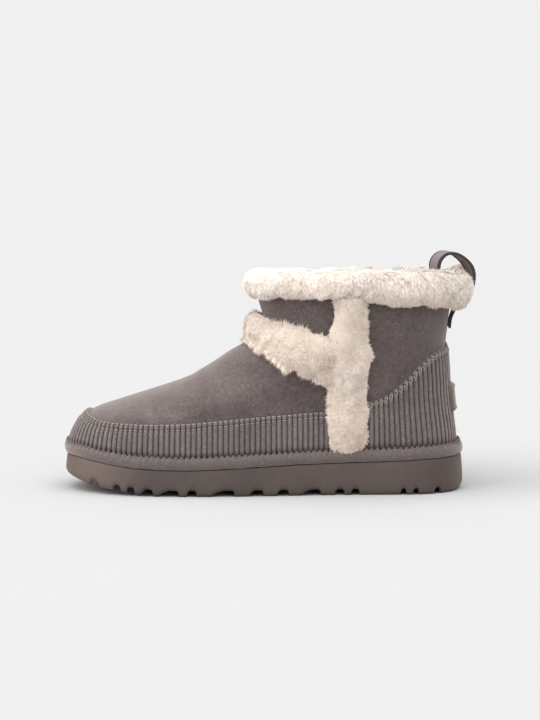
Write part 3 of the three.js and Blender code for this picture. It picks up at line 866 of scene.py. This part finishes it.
class BOOT_OT_welt(bpy.types.Operator):
    """Builds the suede welt roll with its whipped, scalloped upper edge"""

    bl_idname = "boot.welt"
    bl_label = "Welt Roll"

    pitch = 3.8  # from one whip stitch to the next
    columns = 8  # of the mesh, to each whip stitch

    def execute(self, context):
        share = np.linspace(0, 1, 4000)
        run = run_along(offset_skin(mix(-PI, PI, share), 0.8, 3.0))
        whips = round(run[-1] / self.pitch)

        def turns(phase):
            return mix(-PI, PI, np.interp(phase / whips, run / run[-1], share))

        phase = np.arange(whips * self.columns) / self.columns
        out, up, pull = WELT_SECTION.T
        scallop = (1 - np.abs(np.sin(PI * phase)) ** 0.8)[:, None]
        height = up - 1.7 * scallop * pull
        turn = turns(phase)[:, None]
        level = level_above_sole(turn, np.maximum(height, 0.05))
        points = offset_skin(turn, level, out - 0.5 * scallop * pull)
        points[..., 2] = sole_top(points[..., 0]) + height
        points[..., 2] += 0.12 * lumps(points, 9, 12)
        piece = loft("welt_roll", [points], rolled_suede())
        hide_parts("welt_binding")

        def stitch_ends(shift):
            """Places in the roll's upper edge at a phase from the stitches' middles."""
            where = turns(np.arange(whips) + 0.5 + shift)
            here = level_above_sole(where, 8.2)
            spot = offset_skin(where, here, 3.5)
            spot[..., 2] = sole_top(spot[..., 0]) + 8.4
            return spot, unit(skin_normal(where, here) + np.array([0, 0, 0.9]))

        starts, outward = stitch_ends(-0.22)
        ends, _ = stitch_ends(0.22)
        width = context.scene.boot_suede.thread_width / MM * 1.25
        seams = add_stitches(
            "welt_whip_stitches", [(starts, ends, outward, width, 0.4)], rolled_suede()
        )
        return {"FINISHED"}


# ---------- sole and insole ----------


def slab_parts(walls, across, bottom_of, top_of):
    """Parts of a slab's looped sections: its underside, lateral wall, top and medial wall.
    walls holds the lateral and the medial one as (stations, rows, 3)."""
    lateral, medial = walls
    t = np.linspace(0, 1, across)[None, :, None]
    under = mix(medial[:, :1], lateral[:, :1], t)
    over = mix(lateral[:, -1:], medial[:, -1:], t)
    under[..., 2] = bottom_of(under)
    over[..., 2] = top_of(over)
    return [under, lateral[:, 1:-1], over, medial[:, -2:0:-1]]


class BOOT_OT_sole(bpy.types.Operator):
    """Builds the foam outsole with its lugs and the wool-topped insole"""

    bl_idname = "boot.sole"
    bl_label = "Outsole and Insole"

    def stations(self):
        """Bowed positions along the sole: close at the grooves' walls and at the round ends."""
        ends = skin(np.array([0, PI]), 0)[:, 0]
        low, high = ends[0] - SOLE_PROUD, ends[1] + SOLE_PROUD
        plain = low + (high - low) * (1 - np.cos(np.linspace(0, PI, 150))) / 2
        marks = []
        for middle, width, slope in GROOVES:
            start, stop = middle - width / 2, middle + width / 2
            marks += [start - 0.5, start, start + 0.3]
            marks += [start + slope * width * 0.5, start + slope * width]
            marks += [stop - min(0.24 * width, 1.7), stop - 0.8, stop - 0.25, stop, stop + 0.5]
        kept = [p for p in plain if min(abs(p - m) for m in marks) > 0.45]
        return np.sort(np.array(kept + marks))

    def groove(self, station):
        """Depth of the tread's grooves at bowed positions."""
        depth = np.zeros_like(station)
        for middle, width, slope in GROOVES:
            front = np.clip((station - middle + width / 2) / (slope * width), 0, 1)
            back = np.clip((middle + width / 2 - station) / min(0.26 * width, 1.8), 0, 1)
            depth = np.maximum(depth, np.minimum(front**0.6, back**0.45))
        return depth * GROOVE_DEPTH

    def wall(self, stations, side):
        """One side wall at the stations. side is 1 for lateral and -1 for medial."""
        dense = np.linspace(0, PI, 4000) * side
        edge = offset_skin(dense, 0, SOLE_PROUD)
        bowed = edge[:, 0] + GROOVE_BOW * edge[:, 1] ** 2
        turn = np.interp(stations, np.maximum.accumulate(bowed), dense)[:, None]
        inset, share, lift = SOLE_WALL.T
        points = offset_skin(turn, 0, (SOLE_PROUD - inset)[None])
        depth = self.groove(stations)[:, None]
        base = tread(points[..., 0]) + depth
        lift = lift * np.where(share > 0, 1, 1 - depth / 14)
        points[..., 2] = mix(base, sole_top(points[..., 0]), share) + lift
        return points

    def execute(self, context):
        stations = self.stations()
        walls = [self.wall(stations, side) for side in (1, -1)]
        depth = self.groove(stations)[:, None]

        def under(points):
            bow = mix(walls[1][:, :1, 1] ** 2, walls[0][:, :1, 1] ** 2, 0.5)
            points[..., 0] += GROOVE_BOW * (bow - points[..., 1] ** 2)
            return tread(points[..., 0]) + depth

        parts = slab_parts(walls, 15, under, lambda points: sole_top(points[..., 0]))
        foam = shared("moulded_foam_rubber", foam_material)
        piece = loft("lugged_outsole", parts, foam, closed=False)
        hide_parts("outsole")
        self.insole()
        return {"FINISHED"}

    def insole(self):
        turn = np.linspace(0.06, PI - 0.06, 90)[:, None]
        thick = INSOLE_THICKNESS
        rise = np.array([GAP, 2.5, thick - 1.4, thick - 0.4, thick])
        inset = WALL + np.array([0.2, -0.4, -0.5, 0.2, 1.6])
        walls = [offset_skin(turn * side, 0.5, -inset[None]) for side in (1, -1)]
        for wall in walls:
            wall[..., 2] = sole_top(wall[..., 0]) + rise

        def top(points):
            inside = 1 - np.abs(np.linspace(-1, 1, points.shape[1])[None]) ** 6
            return sole_top(points[..., 0]) + thick + 0.5 * inside * lumps(points, 7, 8)

        parts = slab_parts(walls, 36, lambda points: sole_top(points[..., 0]) + GAP, top)
        piece = loft("wool_insole", parts, fleece(), closed=False)
        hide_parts("insole")


# ---------- wool ----------


class Pelt:
    """A grid of points over a piece of wool, with its outward normals and the way along v, that
    strands grow from."""

    def __init__(self, points, closed):
        d_v = np.gradient(points, axis=1)
        if closed:
            d_u = np.roll(points, -1, axis=0) - np.roll(points, 1, axis=0)
        else:
            d_u = np.gradient(points, axis=0)
        grids = [points, unit(np.cross(d_u, d_v)), unit(d_v)]
        if closed:
            grids = [np.concatenate([grid, grid[:1]]) for grid in grids]
        self.points, self.normals, self.rise = grids

    def at(self, u, v):
        """Point, normal and way along v at fractions u and v of the grid's sides."""
        rows, columns = self.points.shape[:2]
        i, j = u * (rows - 1), v * (columns - 1)
        i0, j0 = np.minimum(i.astype(int), rows - 2), np.minimum(j.astype(int), columns - 2)
        s, t = (i - i0)[:, None], (j - j0)[:, None]
        found = []
        for grid in (self.points, self.normals, self.rise):
            low = mix(grid[i0, j0], grid[i0 + 1, j0], s)
            high = mix(grid[i0, j0 + 1], grid[i0 + 1, j0 + 1], s)
            found.append(mix(low, high, t))
        return found[0], unit(found[1]), unit(found[2])

    def scatter(self, count, rng, weight):
        """Random fractions u and v, spread over the surface by weight(u, v)."""
        p = self.points
        sides = p[1:, :-1] - p[:-1, :-1], p[:-1, 1:] - p[:-1, :-1]
        area = np.linalg.norm(np.cross(*sides), axis=-1)
        rows, columns = area.shape
        u, v = (np.arange(rows) + 0.5) / rows, (np.arange(columns) + 0.5) / columns
        area = area * weight(*np.meshgrid(u, v, indexing="ij"))
        cell = rng.choice(area.size, count, p=area.ravel() / area.sum())
        u = (cell // columns + rng.random(count)) / rows
        v = (cell % columns + rng.random(count)) / columns
        return u, v


def gather(root, heads):
    """For each strand, the place among the heads of the nearest one's root."""
    tree = kdtree.KDTree(len(heads))
    for k, head in enumerate(heads):
        tree.insert(root[head], k)
    tree.balance()
    return np.array([tree.find(place)[1] for place in root])


# How many strands each piece has, as a share of the setting
STRAND_SHARES = {
    "wool_cuff_strands_medial": 0.72,
    "wool_cuff_strands_lateral": 1,
    "wool_strip_lateral_strands": 0.64,
    "wool_strip_medial_strands": 0.32,
    "wool_instep_strands": 0.86,
    "wool_lining_strands": 0.2,
}
PLAIN_LIFT = 0.42  # how steeply a strand stands in the pile
STRAY_SHARE, STRAY_LIFT, STRAY_WIDTH = 0.07, 2.4, 0.5
SWIRL, MESS = 0.22, 0.26  # how far strands lean with their neighbours, and each by itself
TUFT = 26  # strands that gather into one tuft


def add_strands(
    name,
    pelt,
    comb,
    seed,
    weight=lambda u, v: 1.0,
    stretch=lambda u, v, root: 1.0,
    warmth=lambda v: 1.0,
    facing=lambda v, root: 0,
    lift=lambda v: PLAIN_LIFT,
):
    """A piece of wool strands over a pelt. comb(v, root, normal, rise) gives the way that each
    strand leans, weight(u, v) how thickly they stand, stretch(u, v, root) how much longer one is
    than usual, warmth(v) how far its tone is towards the darkest, facing(v, root) which way its
    flat side turns besides outwards from the pile, and lift(v) how steeply it stands."""
    wool = bpy.context.scene.boot_wool
    count = int(wool.strands * STRAND_SHARES[name])
    rng = np.random.default_rng(seed)
    u, v = pelt.scatter(count, rng, weight)
    root, normal, rise = pelt.at(u, v)
    swirl = np.stack([lumps(root, 13, seed + k) for k in range(3)], axis=-1)
    lean = comb(v, root, normal, rise) + SWIRL * swirl + MESS * rng.normal(size=(count, 3))
    # strands lie along the pile, so that their faces look outwards
    lean = unit(lean - normal * dot(lean, normal)[:, None])
    stray = rng.random(count) < STRAY_SHARE
    stand = lift(v) * rng.uniform(0.5, 1.4, count) * np.where(stray, STRAY_LIFT, 1)
    outward = unit(normal + facing(v, root))
    way = unit(normal * stand[:, None] + lean)
    tall = wool.strand / MM * rng.uniform(0.65, 1.15, count)
    tall = tall * (1 + 0.16 * lumps(root, 8, seed + 9)) * stretch(u, v, root)
    tip = root + way * tall[:, None]

    # neighbouring strands gather into tufts: each tip is drawn to the tip of its tuft's middle
    heads = rng.choice(count, max(count // TUFT, 1), replace=False)
    nearest = gather(root, heads)
    head = heads[nearest]
    pull = rng.uniform(0.05, 0.35, count)
    tip = mix(tip, tip[head] + 0.35 * (root - root[head]), pull[:, None])

    bend = mix(root, tip, 0.55) + normal * (0.1 * tall)[:, None]
    bend = bend + rng.normal(size=(count, 3)) * 0.25
    axis = unit(tip - root)
    side = unit(unit(np.cross(axis, outward)) + 0.12 * rng.normal(size=(count, 3)))
    spread = rng.uniform(0.7, 1.25, count) * np.where(stray, STRAY_WIDTH, 1)
    half = side * (wool.strand_width / MM * spread[:, None] / 2)
    corners = [root - half, root + half, bend + half * 0.75, bend - half * 0.75, tip]
    points = np.stack(corners, axis=1)
    base = np.arange(count)[:, None] * 5
    quads, tips = base + np.array([[0, 1, 2, 3]]), base + np.array([[3, 2, 4]])
    # faces look outwards, so that they are lit from the pile's outside
    turned = np.cross(points[:, 1] - points[:, 0], points[:, 2] - points[:, 1])
    inward = dot(turned, outward)[:, None] < 0
    quads, tips = (np.where(inward, part[:, ::-1], part) for part in (quads, tips))
    tone = 0.42 * rng.normal(size=len(heads))[nearest] + 0.38 * rng.normal(size=count)
    tone = np.clip(np.round(tone + warmth(v)).astype(int), 0, len(WOOL_TONES) - 2)
    flat = unit(np.cross(side, axis))
    flat = flat * np.where(dot(flat, outward) < 0, -1, 1)[:, None]
    # only strands that lie flat borrow the pile's smooth light
    level_with = np.clip(dot(flat, normal), 0, 1)[:, None] ** 2
    normals = np.repeat(unit(flat + 1.2 * level_with * normal), 5, axis=0)
    slots = np.concatenate([tone + 1, tone])
    piece = add_mesh(name, points, [quads, tips], strand_palette(), slots=slots, normals=normals)


class BOOT_OT_cuff(bpy.types.Operator):
    """Builds the wool cuff that rolls over the collar"""

    bl_idname = "boot.cuff"
    bl_label = "Wool Cuff"

    rows = 34  # of the pile's mesh, round its section
    # half of the strands, share of the way round that it is centred on, seed
    halves = (("medial", 0.25, 31), ("lateral", 0.75, 32))

    def pile(self):
        """The pile's points, and the rows that close its body over the collar."""
        turn = all_turns(240)
        at = np.linspace(0, len(CUFF_SECTION) - 1, self.rows)
        out, share, extra = (
            np.interp(at, np.arange(len(CUFF_SECTION)), column) for column in CUFF_SECTION.T
        )
        shaft = skin(turn, 12.5)
        low = along(CUFF_EDGE, shaft[..., 0])
        # the pile stands a little taller on the outer side of the ankle
        crest = CUFF_CREST + mix(2.0, -3.6, (1 + shaft[..., 1] / SHAFT_HALF_WIDTH) / 2)
        z = mix(low, crest, share[None]) + extra[None]
        z = z + 1.1 * lumps(shaft, 30, 21) * np.sin(PI * share)[None]
        away = skin_normal(turn, TOP - 1.0)
        away[..., 2] = 0
        # over the collar's edge the pile leans back to the middle of the wall
        points = skin(turn, level_at_height(turn, np.minimum(z, COLLAR_Z)))
        points = points + unit(away) * out[None, :, None]
        points[..., 2] = z
        swell = 0.6 * lumps(points, 14, 22) + 0.25 * lumps(points, 6, 23)
        # it is thinner at the front, and closes round both sides of the pull loop at the heel
        outside = np.clip(out / 6, 0, 1)
        swell = swell - 1.6 * np.clip(-points[..., 0] / 12, 0, 1) * outside
        heel = climb(points[..., 0], 100, 12)
        swell = swell + 5.2 * heel * bump_at(np.abs(points[..., 1]), 16, 8) * outside
        swell = swell * np.clip(out / 4 + 2, 0, 1)
        points = points + Pelt(points, closed=True).normals[:-1] * swell[..., None]
        level, inward, above = CUFF_CLOSING.T
        closing = skin(turn, level[None]) + unit(away) * inward[None, :, None]
        closing[..., 2] = COLLAR_Z + above[None]
        return points, closing

    def execute(self, context):
        points, closing = self.pile()
        body = loft("wool_cuff_pile", [points, closing], fleece())
        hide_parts("wool_cuff")
        pelt = Pelt(points, closed=True)

        def comb(v, root, normal, rise):
            """Down the outside and the inside, and along the crest between them."""
            swing = PI * climb(v, 0.4, 0.3)[:, None]
            return 0.9 * (np.sin(swing) * np.cross(normal, rise) - np.cos(swing) * rise)

        def facing(v, root):
            middle = np.stack([np.clip(root[:, 0], 45, 75), 0 * v, root[:, 2]], axis=-1)
            aside = np.stack([0 * v, 1.1 * np.clip(root[:, 1] / 9, -1, 1), 0 * v], axis=-1)
            return np.clip((0.56 - v) / 0.2, -1, 1)[:, None] * (unit(root - middle) + aside) * 0.5

        # tone darkens toward the cuff's lower outside edge, partly the wool's warmer colour and
        # partly painted shade; from the crest inward it is lighter, painted light
        def warmth(v):
            return 1.0 + 2.2 * np.clip(1 - v / 0.3, 0, 1) - climb(v, 0.5, 0.1)

        for side, middle, seed in self.halves:

            def weight(u, v, middle=middle):
                near = np.abs((u - middle + 0.5) % 1 - 0.5) <= 0.25
                return near * np.where(v > 0.75, 0.55, 1.0)

            add_strands(
                "wool_cuff_strands_" + side,
                pelt,
                comb,
                seed,
                weight,
                stretch=lambda u, v, root: np.where(v < 0.1, 0.8, 1.0),
                warmth=warmth,
                facing=facing,
                lift=lambda v: PLAIN_LIFT - 0.2 * climb(v, 0.42, 0.1),
            )
        return {"FINISHED"}


class BOOT_OT_wool_strips(bpy.types.Operator):
    """Builds the upright wool strip on each side of the boot"""

    bl_idname = "boot.wool_strips"
    bl_label = "Wool Strips"

    top = 131.0
    tuft_z = 92  # where a tuft stands out to the back

    def strip(self, side, name, seed):
        u = np.linspace(0, 1, 26)[:, None]
        v = np.linspace(0, 1, 90)[None]
        toe_side = STRIP_FRONT + 2.2 + 3.8 * climb(v, 0.74, 0.1)
        x = mix(toe_side, STRIP_BACK - 1.6, u if side > 0 else 1 - u)
        end = 1 - np.clip(np.abs(2 * u - 1), 0, 1) ** 3.2
        foot = sole_top(x) + WELT_HEIGHT - 1 + 7 * (1 - end)
        z = mix(foot, self.top, v)
        level = np.full(z.shape, 7.0)
        for _ in range(3):  # the turn that keeps x, and the level that keeps z, settle together
            level = level_at_height(turn_at(x, level, side), z)
        turn = turn_at(x, level, side)
        crown = np.sin(PI * np.clip(u, 0.02, 0.98)) ** 0.55
        thick = 1.4 + 5.4 * crown * np.clip((v * 101 + 1) / 8, 0.15, 1) ** 0.6
        face = offset_skin(turn, level, thick)
        face = face + skin_normal(turn, level) * (0.35 * lumps(face, 11, seed) * crown)[..., None]
        back = offset_skin(turn, level, 0.4)[:, ::6][:, ::-1]
        body = loft(name + "_pile", [face, back], fleece(), closed=False)
        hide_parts(name)

        def across(root):
            """Share of the way to the back, and how far a root is in the tuft."""
            share = (root[:, 0] - STRIP_FRONT) / (STRIP_BACK - STRIP_FRONT)
            return share, bump_at(root[:, 2], self.tuft_z, 6) * climb(share, 0.5, 0.4)

        def comb(v, root, normal, rise):
            share, tuft = across(root)
            toeward = 0.25 + 1.0 * np.clip(0.4 - share, 0, 1) / 0.4
            toeward = np.where(share > 0.85, 0.1, toeward) - 2.0 * tuft
            toeward = toeward * (1 + 0.5 * lumps(root, 9, seed + 4))
            fall = 0.22 + 0.7 * climb(root[:, 2], 40, -8)
            return toeward[:, None] * np.array([-1.0, 0, 0]) - fall[:, None] * rise

        def stretch(u, v, root):
            share, tuft = across(root)
            fringe = np.clip(0.3 - share, 0, 1) / 0.3 * (0.6 + 0.6 * lumps(root, 8, seed + 5))
            return 0.85 + fringe - 0.25 * (share > 0.85) + 0.7 * tuft

        def facing(v, root):
            return np.stack([1.8 * across(root)[0] - 0.9, 0 * v - 1.2 * side, 0 * v], axis=-1)

        add_strands(
            name + "_strands",
            Pelt(face, closed=False),
            comb,
            seed,
            stretch=stretch,
            warmth=lambda v: 1.75 + 0.9 * np.clip(0.35 - v, 0, 1) / 0.35,
            facing=facing,
        )

    def execute(self, context):
        self.strip(1, "wool_strip_lateral", 41)
        self.strip(-1, "wool_strip_medial", 45)
        return {"FINISHED"}


class BOOT_OT_instep_band(bpy.types.Operator):
    """Builds the wool band over the instep"""

    bl_idname = "boot.instep_band"
    bl_label = "Instep Wool Band"

    def pile(self):
        """Points of the pile's face and back, and its two ends under the strips."""
        u = np.linspace(0, 1, 150)[:, None]
        v = np.linspace(0, 1, 34)[None]
        share, side = np.abs(2 * u - 1), np.where(u < 0.5, -1.0, 1.0)
        ragged = 1.2 * lumps(np.concatenate([u * 260, u * 0, u * 0], axis=1), 15, 50)[:, None]
        low = along(BAND_EDGES, share, 1) + 2.2 + ragged * np.clip(share * 3, 0, 1)
        high = along(BAND_EDGES, share, 2) - 2 + 1.5 * bump_at(share, 0, 0.3)
        z = mix(low, high, v)
        end = STRIP_FRONT + 9
        level = np.full(z.shape, 10.0)
        for _ in range(3):
            level = level_at_height(turn_at(end, level, side) * share, z)
        turn = turn_at(end, level, side) * share
        # over the middle of the instep the pile stands forward, with a round upright front
        front = bump_at(share, 0, 0.33)
        crown = np.sin(PI * np.clip(v, 0.03, 0.97)) ** mix(0.5, 0.38, front)
        thick = 1.1 + (5.6 + front * 4.6 * climb(v, 0.02, 0.33)) * crown
        thick = thick * (1 - 0.3 * climb(share, 0.8, 0.2))
        steps = np.linspace(-2, 2, 9)
        way = sum(skin_normal(turn, np.clip(level + step, 0, TOP)) for step in steps)
        way[..., 2] *= 1 - 0.65 * front
        face = skin(turn, level) + unit(way) * thick[..., None]
        face = face + unit(way) * (0.4 * lumps(face, 10, 51) * crown)[..., None]
        return face, offset_skin(turn, level, 0.7)[:, ::6][:, ::-1]

    def execute(self, context):
        face, back = self.pile()
        body = loft("wool_instep_pile", [face, back], fleece(), closed=False)
        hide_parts("wool_instep_band")

        def low_edge(v):
            return np.clip(0.2 - v, 0, 1) / 0.2

        def comb(v, root, normal, rise):
            fall = 0.55 * (0.62 - v) * 2 + 0.35 * low_edge(v)
            inward = np.where(v < 0.2, -0.1, 0)[:, None] * normal
            return -fall[:, None] * rise + inward - 0.12 * np.array([1.0, 0, 0])

        def stretch(u, v, root):
            share = np.abs(2 * u - 1)
            wisps = low_edge(v) + bump_at(share, 0.5, 0.3) * np.clip(v - 0.88, 0, 1) / 0.12
            wisps = 0.75 * wisps * (0.7 + 0.8 * lumps(root, 7, 53))
            return 0.85 + wisps * np.clip(share / 0.25 - 0.4, 0, 1)

        def facing(v, root):
            aside = 0.9 * np.clip(root[:, 1] / 8, -1, 1)
            return np.stack([0 * v - 0.6, aside, 0 * v], axis=-1)

        add_strands(
            "wool_instep_strands",
            Pelt(face, closed=False),
            comb,
            52,
            weight=lambda u, v: np.where(u < 0.5, 0.75, 1.0),
            stretch=stretch,
            warmth=lambda v: 2.1 + 0.5 * (0.5 - v),
            facing=facing,
            lift=lambda v: PLAIN_LIFT - 0.2 * climb(v, 0.65, 0.2),
        )
        return {"FINISHED"}


class BOOT_OT_lining(bpy.types.Operator):
    """Builds the wool lining inside the shaft and foot"""

    bl_idname = "boot.lining"
    bl_label = "Wool Lining"

    def execute(self, context):
        turn = all_turns(170)
        outer = np.linspace(0.2, TOP - 0.1, 10)[None]
        inner = np.linspace(TOP - 0.1, 0.2, 48)[None]
        inside = -WALL + 1.6
        back = offset_skin(turn, outer, -SUEDE - GAP)
        face = offset_skin(turn, inner, inside)
        depth = inside - 0.8 * lumps(face, 12, 61) - 0.4 * lumps(face, 5, 62)
        face = offset_skin(turn, inner, depth)
        body = loft("wool_lining_pile", [back, face], fleece())
        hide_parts("upper")
        add_strands(
            "wool_lining_strands",
            Pelt(face, closed=True),
            lambda v, root, normal, rise: 0.5 * rise,
            63,
            weight=lambda u, v: np.where(v < 0.42, 1.0, 0.12),
        )
        return {"FINISHED"}


# ---------- trim at the heel ----------


class BOOT_OT_heel_trim(bpy.types.Operator):
    """Builds the suede back strip and the plain sewn patch over the heel"""

    bl_idname = "boot.heel_trim"
    bl_label = "Heel Trim"

    def curved_patch(self, name, size, inner, outer, squareness):
        """A crowned patch over the back of the heel, between two offsets from the skin. size is
        its half width, low z and high z."""
        half_width, low, high = size
        u = np.linspace(-1, 1, 25)[:, None]
        v = np.linspace(-1, 1, 31)[None]
        corner = (np.abs(u) ** squareness + np.abs(v) ** squareness) ** (1 / squareness)
        square = np.maximum(np.abs(u), np.abs(v))
        pull = np.where(corner > 0, square / np.maximum(corner, 1e-6), 1)
        y, z = u * half_width * pull, (low + high) / 2 + v * ((high - low) / 2) * pull
        level = level_at_height(PI, z)
        reach = np.abs(skin(PI - 0.4, level)[..., 1]) / 0.4
        turn = PI + y / reach
        edge = np.clip((1 - square) * 6, 0, 1) ** 0.5
        face = offset_skin(turn, level, mix(inner + 0.2, outer, edge))
        back = offset_skin(turn, level, inner)[:, ::-1]
        piece = loft(name, [face, back], rolled_suede(), closed=False)
        return turn, level, piece

    def execute(self, context):
        self.curved_patch("heel_back_strip", BACK_STRIP, 0.5, 2.2, 12)
        turn, level, patch = self.curved_patch("heel_patch", HEEL_PATCH, 1.8, 4.6, 7)
        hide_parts("heel_badge")
        # a plain frame of stitches, inside the patch's edge
        rows, columns = turn.shape
        angle = np.linspace(0, 1, 60, endpoint=False) * 2 * PI
        i = (rows - 1) * (0.5 + 0.4 * np.clip(1.35 * np.cos(angle), -1, 1))
        j = (columns - 1) * (0.5 + 0.38 * np.clip(1.35 * np.sin(angle), -1, 1))
        i0, j0 = i.astype(int), j.astype(int)
        where = mix(turn[i0, j0], turn[i0 + 1, j0], i - i0)
        here = mix(level[i0, j0], level[i0, j0 + 1], j - j0)
        places = offset_skin(where, here, 4.65)
        following = np.roll(places, -1, axis=0)
        starts, ends = mix(places, following, 0.12), mix(places, following, 0.85)
        width = context.scene.boot_suede.thread_width / MM * 0.8
        stitches = (starts, ends, skin_normal(where, here), width, 0.15)
        seams = add_stitches("heel_patch_seam", [stitches], thread())
        return {"FINISHED"}


class BOOT_OT_pull_loop(bpy.types.Operator):
    """Builds the woven ribbon pull loop"""

    bl_idname = "boot.pull_loop"
    bl_label = "Pull Loop"

    def execute(self, context):
        knots = run_along(LOOP_LINE)
        run = np.linspace(0, knots[-1], 130)
        x, z = smooth(knots, LOOP_LINE[:, 0], run), smooth(knots, LOOP_LINE[:, 1], run)
        d_x, d_z = np.gradient(x, run), np.gradient(z, run)
        size = np.hypot(d_x, d_z)
        across = np.linspace(-1, 1, 15)
        parts, cross = [], []
        for face in (1, -1):
            order = across * face
            # the ribbon cups a little across its width, and its woven edges are thicker
            thick = LOOP_HALF_THICKNESS * (1 + 0.35 * (np.abs(order) > 0.8)) * face
            height = (thick - 0.25 * order**2)[None]
            px = x[:, None] - (d_z / size)[:, None] * height
            pz = z[:, None] + (d_x / size)[:, None] * height
            py = np.broadcast_to(order[None] * LOOP_HALF_WIDTH, px.shape)
            lean = climb(pz, LOOP_LEAN_FROM, LOOP_LEAN_TO - LOOP_LEAN_FROM)
            lean = lean * lean * (3 - 2 * lean)
            parts.append(np.stack([px - LOOP_LEAN * lean * py, py, pz], axis=-1))
            cross.append(np.broadcast_to(np.abs(order)[None], px.shape))
        cross = np.concatenate(cross, axis=1)
        attributes = {"across": cross, "along": np.broadcast_to(run[:, None], cross.shape)}
        ribbon = shared("woven_ribbon", ribbon_material)
        piece = loft("ribbon_pull_loop", parts, ribbon, closed=False, attributes=attributes)
        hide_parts("pull_loop")
        return {"FINISHED"}


# ---------- stage ----------


class BOOT_OT_stage(bpy.types.Operator):
    """Sets up the pale floor, the soft lights and the camera"""

    bl_idname = "boot.stage"
    bl_label = "Studio Stage"

    camera_distance = 2.2
    camera_elevation = 6.5
    camera_target = (3.67, 0, 85.0)
    lens = 164.8
    # far, broad softboxes: name, azimuth and elevation, degrees that each looks wide, power
    softboxes = (
        ("top_softbox", 270, 80, 70, 2.2),
        ("left_softbox", 195, 30, 60, 1.85),
        ("right_softbox", -10, 30, 60, 0.5),
        ("front_softbox", 265, 32, 80, 1.4),
        ("back_softbox", 80, 35, 80, 0.5),
    )
    surround = 0.42  # how much of its own brightness the pale surround lends as light

    def camera(self):
        data = bpy.data.cameras.new("studio_camera")
        data.lens = self.lens
        data.sensor_width = 36
        data.clip_end = 50
        camera = bpy.data.objects.new("studio_camera", data)
        target = Vector(self.camera_target) * MM + Vector((FRAME_SHIFT * MM, 0, 0))
        tilt = math.radians(self.camera_elevation)
        away = Vector((0, -math.cos(tilt), math.sin(tilt)))
        camera.location = target + away * self.camera_distance
        camera.rotation_euler = (PI / 2 - tilt, 0, 0)
        bpy.context.scene.collection.objects.link(camera)
        bpy.context.scene.camera = camera

    def softbox(self, name, azimuth, elevation, spread, power):
        data = bpy.data.lights.new(name, "SUN")
        data.angle = math.radians(spread)
        data.energy = power
        lamp = bpy.data.objects.new(name, data)
        turn, rise = math.radians(azimuth), math.radians(elevation)
        flat = math.cos(rise)
        place = Vector((flat * math.cos(turn), flat * math.sin(turn), math.sin(rise)))
        lamp.location = place
        lamp.rotation_euler = place.to_track_quat("Z", "Y").to_euler()
        bpy.context.scene.collection.objects.link(lamp)

    def floor(self, settings):
        """A matt painted floor that fades into the surround, so that no horizon shows."""
        material, tree = new_material("painted_studio_floor")
        distance = add_node(tree, "ShaderNodeVectorMath", {0: places(tree)}, operation="LENGTH")
        near, far = settings.radius * 0.25, settings.radius * 0.95
        fade = add_ramp(tree, distance.outputs["Value"], near, far, kind="SMOOTHSTEP")
        paint = {"Color": opaque(settings.floor), "Roughness": 0.0}
        matt = add_node(tree, "ShaderNodeBsdfDiffuse", paint).outputs[0]
        clear = add_node(tree, "ShaderNodeBsdfTransparent").outputs[0]
        finish_surface(material, {0: fade, 1: matt, 2: clear}, "ShaderNodeMixShader")
        bpy.ops.mesh.primitive_circle_add(vertices=96, radius=settings.radius, fill_type="NGON")
        floor = bpy.context.object
        floor.name = "studio_floor"
        floor.data.materials.append(material)

    def world(self, settings):
        """The pale surround: at full brightness to the camera, and dimmer as light."""
        world = bpy.data.worlds.new("studio_surround")
        world.use_nodes = True
        tree = world.node_tree
        tree.nodes.clear()
        colour = opaque(settings.surround)
        seen, lent = (
            add_node(tree, "ShaderNodeBackground", {"Color": colour, "Strength": power}).outputs[0]
            for power in (1.0, self.surround)
        )
        ray = add_node(tree, "ShaderNodeLightPath").outputs["Is Camera Ray"]
        both = add_node(tree, "ShaderNodeMixShader", {0: ray, 1: lent, 2: seen})
        add_node(tree, "ShaderNodeOutputWorld", {"Surface": both.outputs[0]})
        bpy.context.scene.world = world

    def execute(self, context):
        settings = context.scene.boot_stage
        self.camera()
        self.floor(settings)
        for box in self.softboxes:
            self.softbox(*box)
        self.world(settings)
        context.scene.view_settings.view_transform = "Standard"
        return {"FINISHED"}


# ---------- panel and registration ----------

STEPS = (
    BOOT_OT_stage,
    BOOT_OT_upper,
    BOOT_OT_ribbed_panels,
    BOOT_OT_welt,
    BOOT_OT_sole,
    BOOT_OT_heel_trim,
    BOOT_OT_pull_loop,
    BOOT_OT_lining,
    BOOT_OT_instep_band,
    BOOT_OT_wool_strips,
    BOOT_OT_cuff,
)
SETTINGS = {
    "boot_suede": BootSuede,
    "boot_wool": BootWool,
    "boot_sole": BootSole,
    "boot_stage": BootStage,
}


class BOOT_PT_panel(bpy.types.Panel):
    """Lists the boot's settings and the steps that build it"""

    bl_idname = "BOOT_PT_panel"
    bl_label = "Sheepskin Boot"
    bl_space_type = "VIEW_3D"
    bl_region_type = "UI"
    bl_category = "Boot"

    def draw(self, context):
        for name, group in SETTINGS.items():
            box = self.layout.box()
            for setting in group.__annotations__:
                box.prop(getattr(context.scene, name), setting)
        for step in STEPS:
            self.layout.operator(step.bl_idname)


def register():
    for cls in (*SETTINGS.values(), *STEPS, BOOT_PT_panel):
        bpy.utils.register_class(cls)
    for name, group in SETTINGS.items():
        setattr(bpy.types.Scene, name, bpy.props.PointerProperty(type=group))


def unregister():
    for name in SETTINGS:
        delattr(bpy.types.Scene, name)
    for cls in (BOOT_PT_panel, *reversed(STEPS), *reversed(SETTINGS.values())):
        bpy.utils.unregister_class(cls)


def main():
    register()
    for step in STEPS:
        group, name = step.bl_idname.split(".")
        getattr(getattr(bpy.ops, group), name)()
    bpy.context.view_layer.update()


if __name__ == "__main__":
    main()
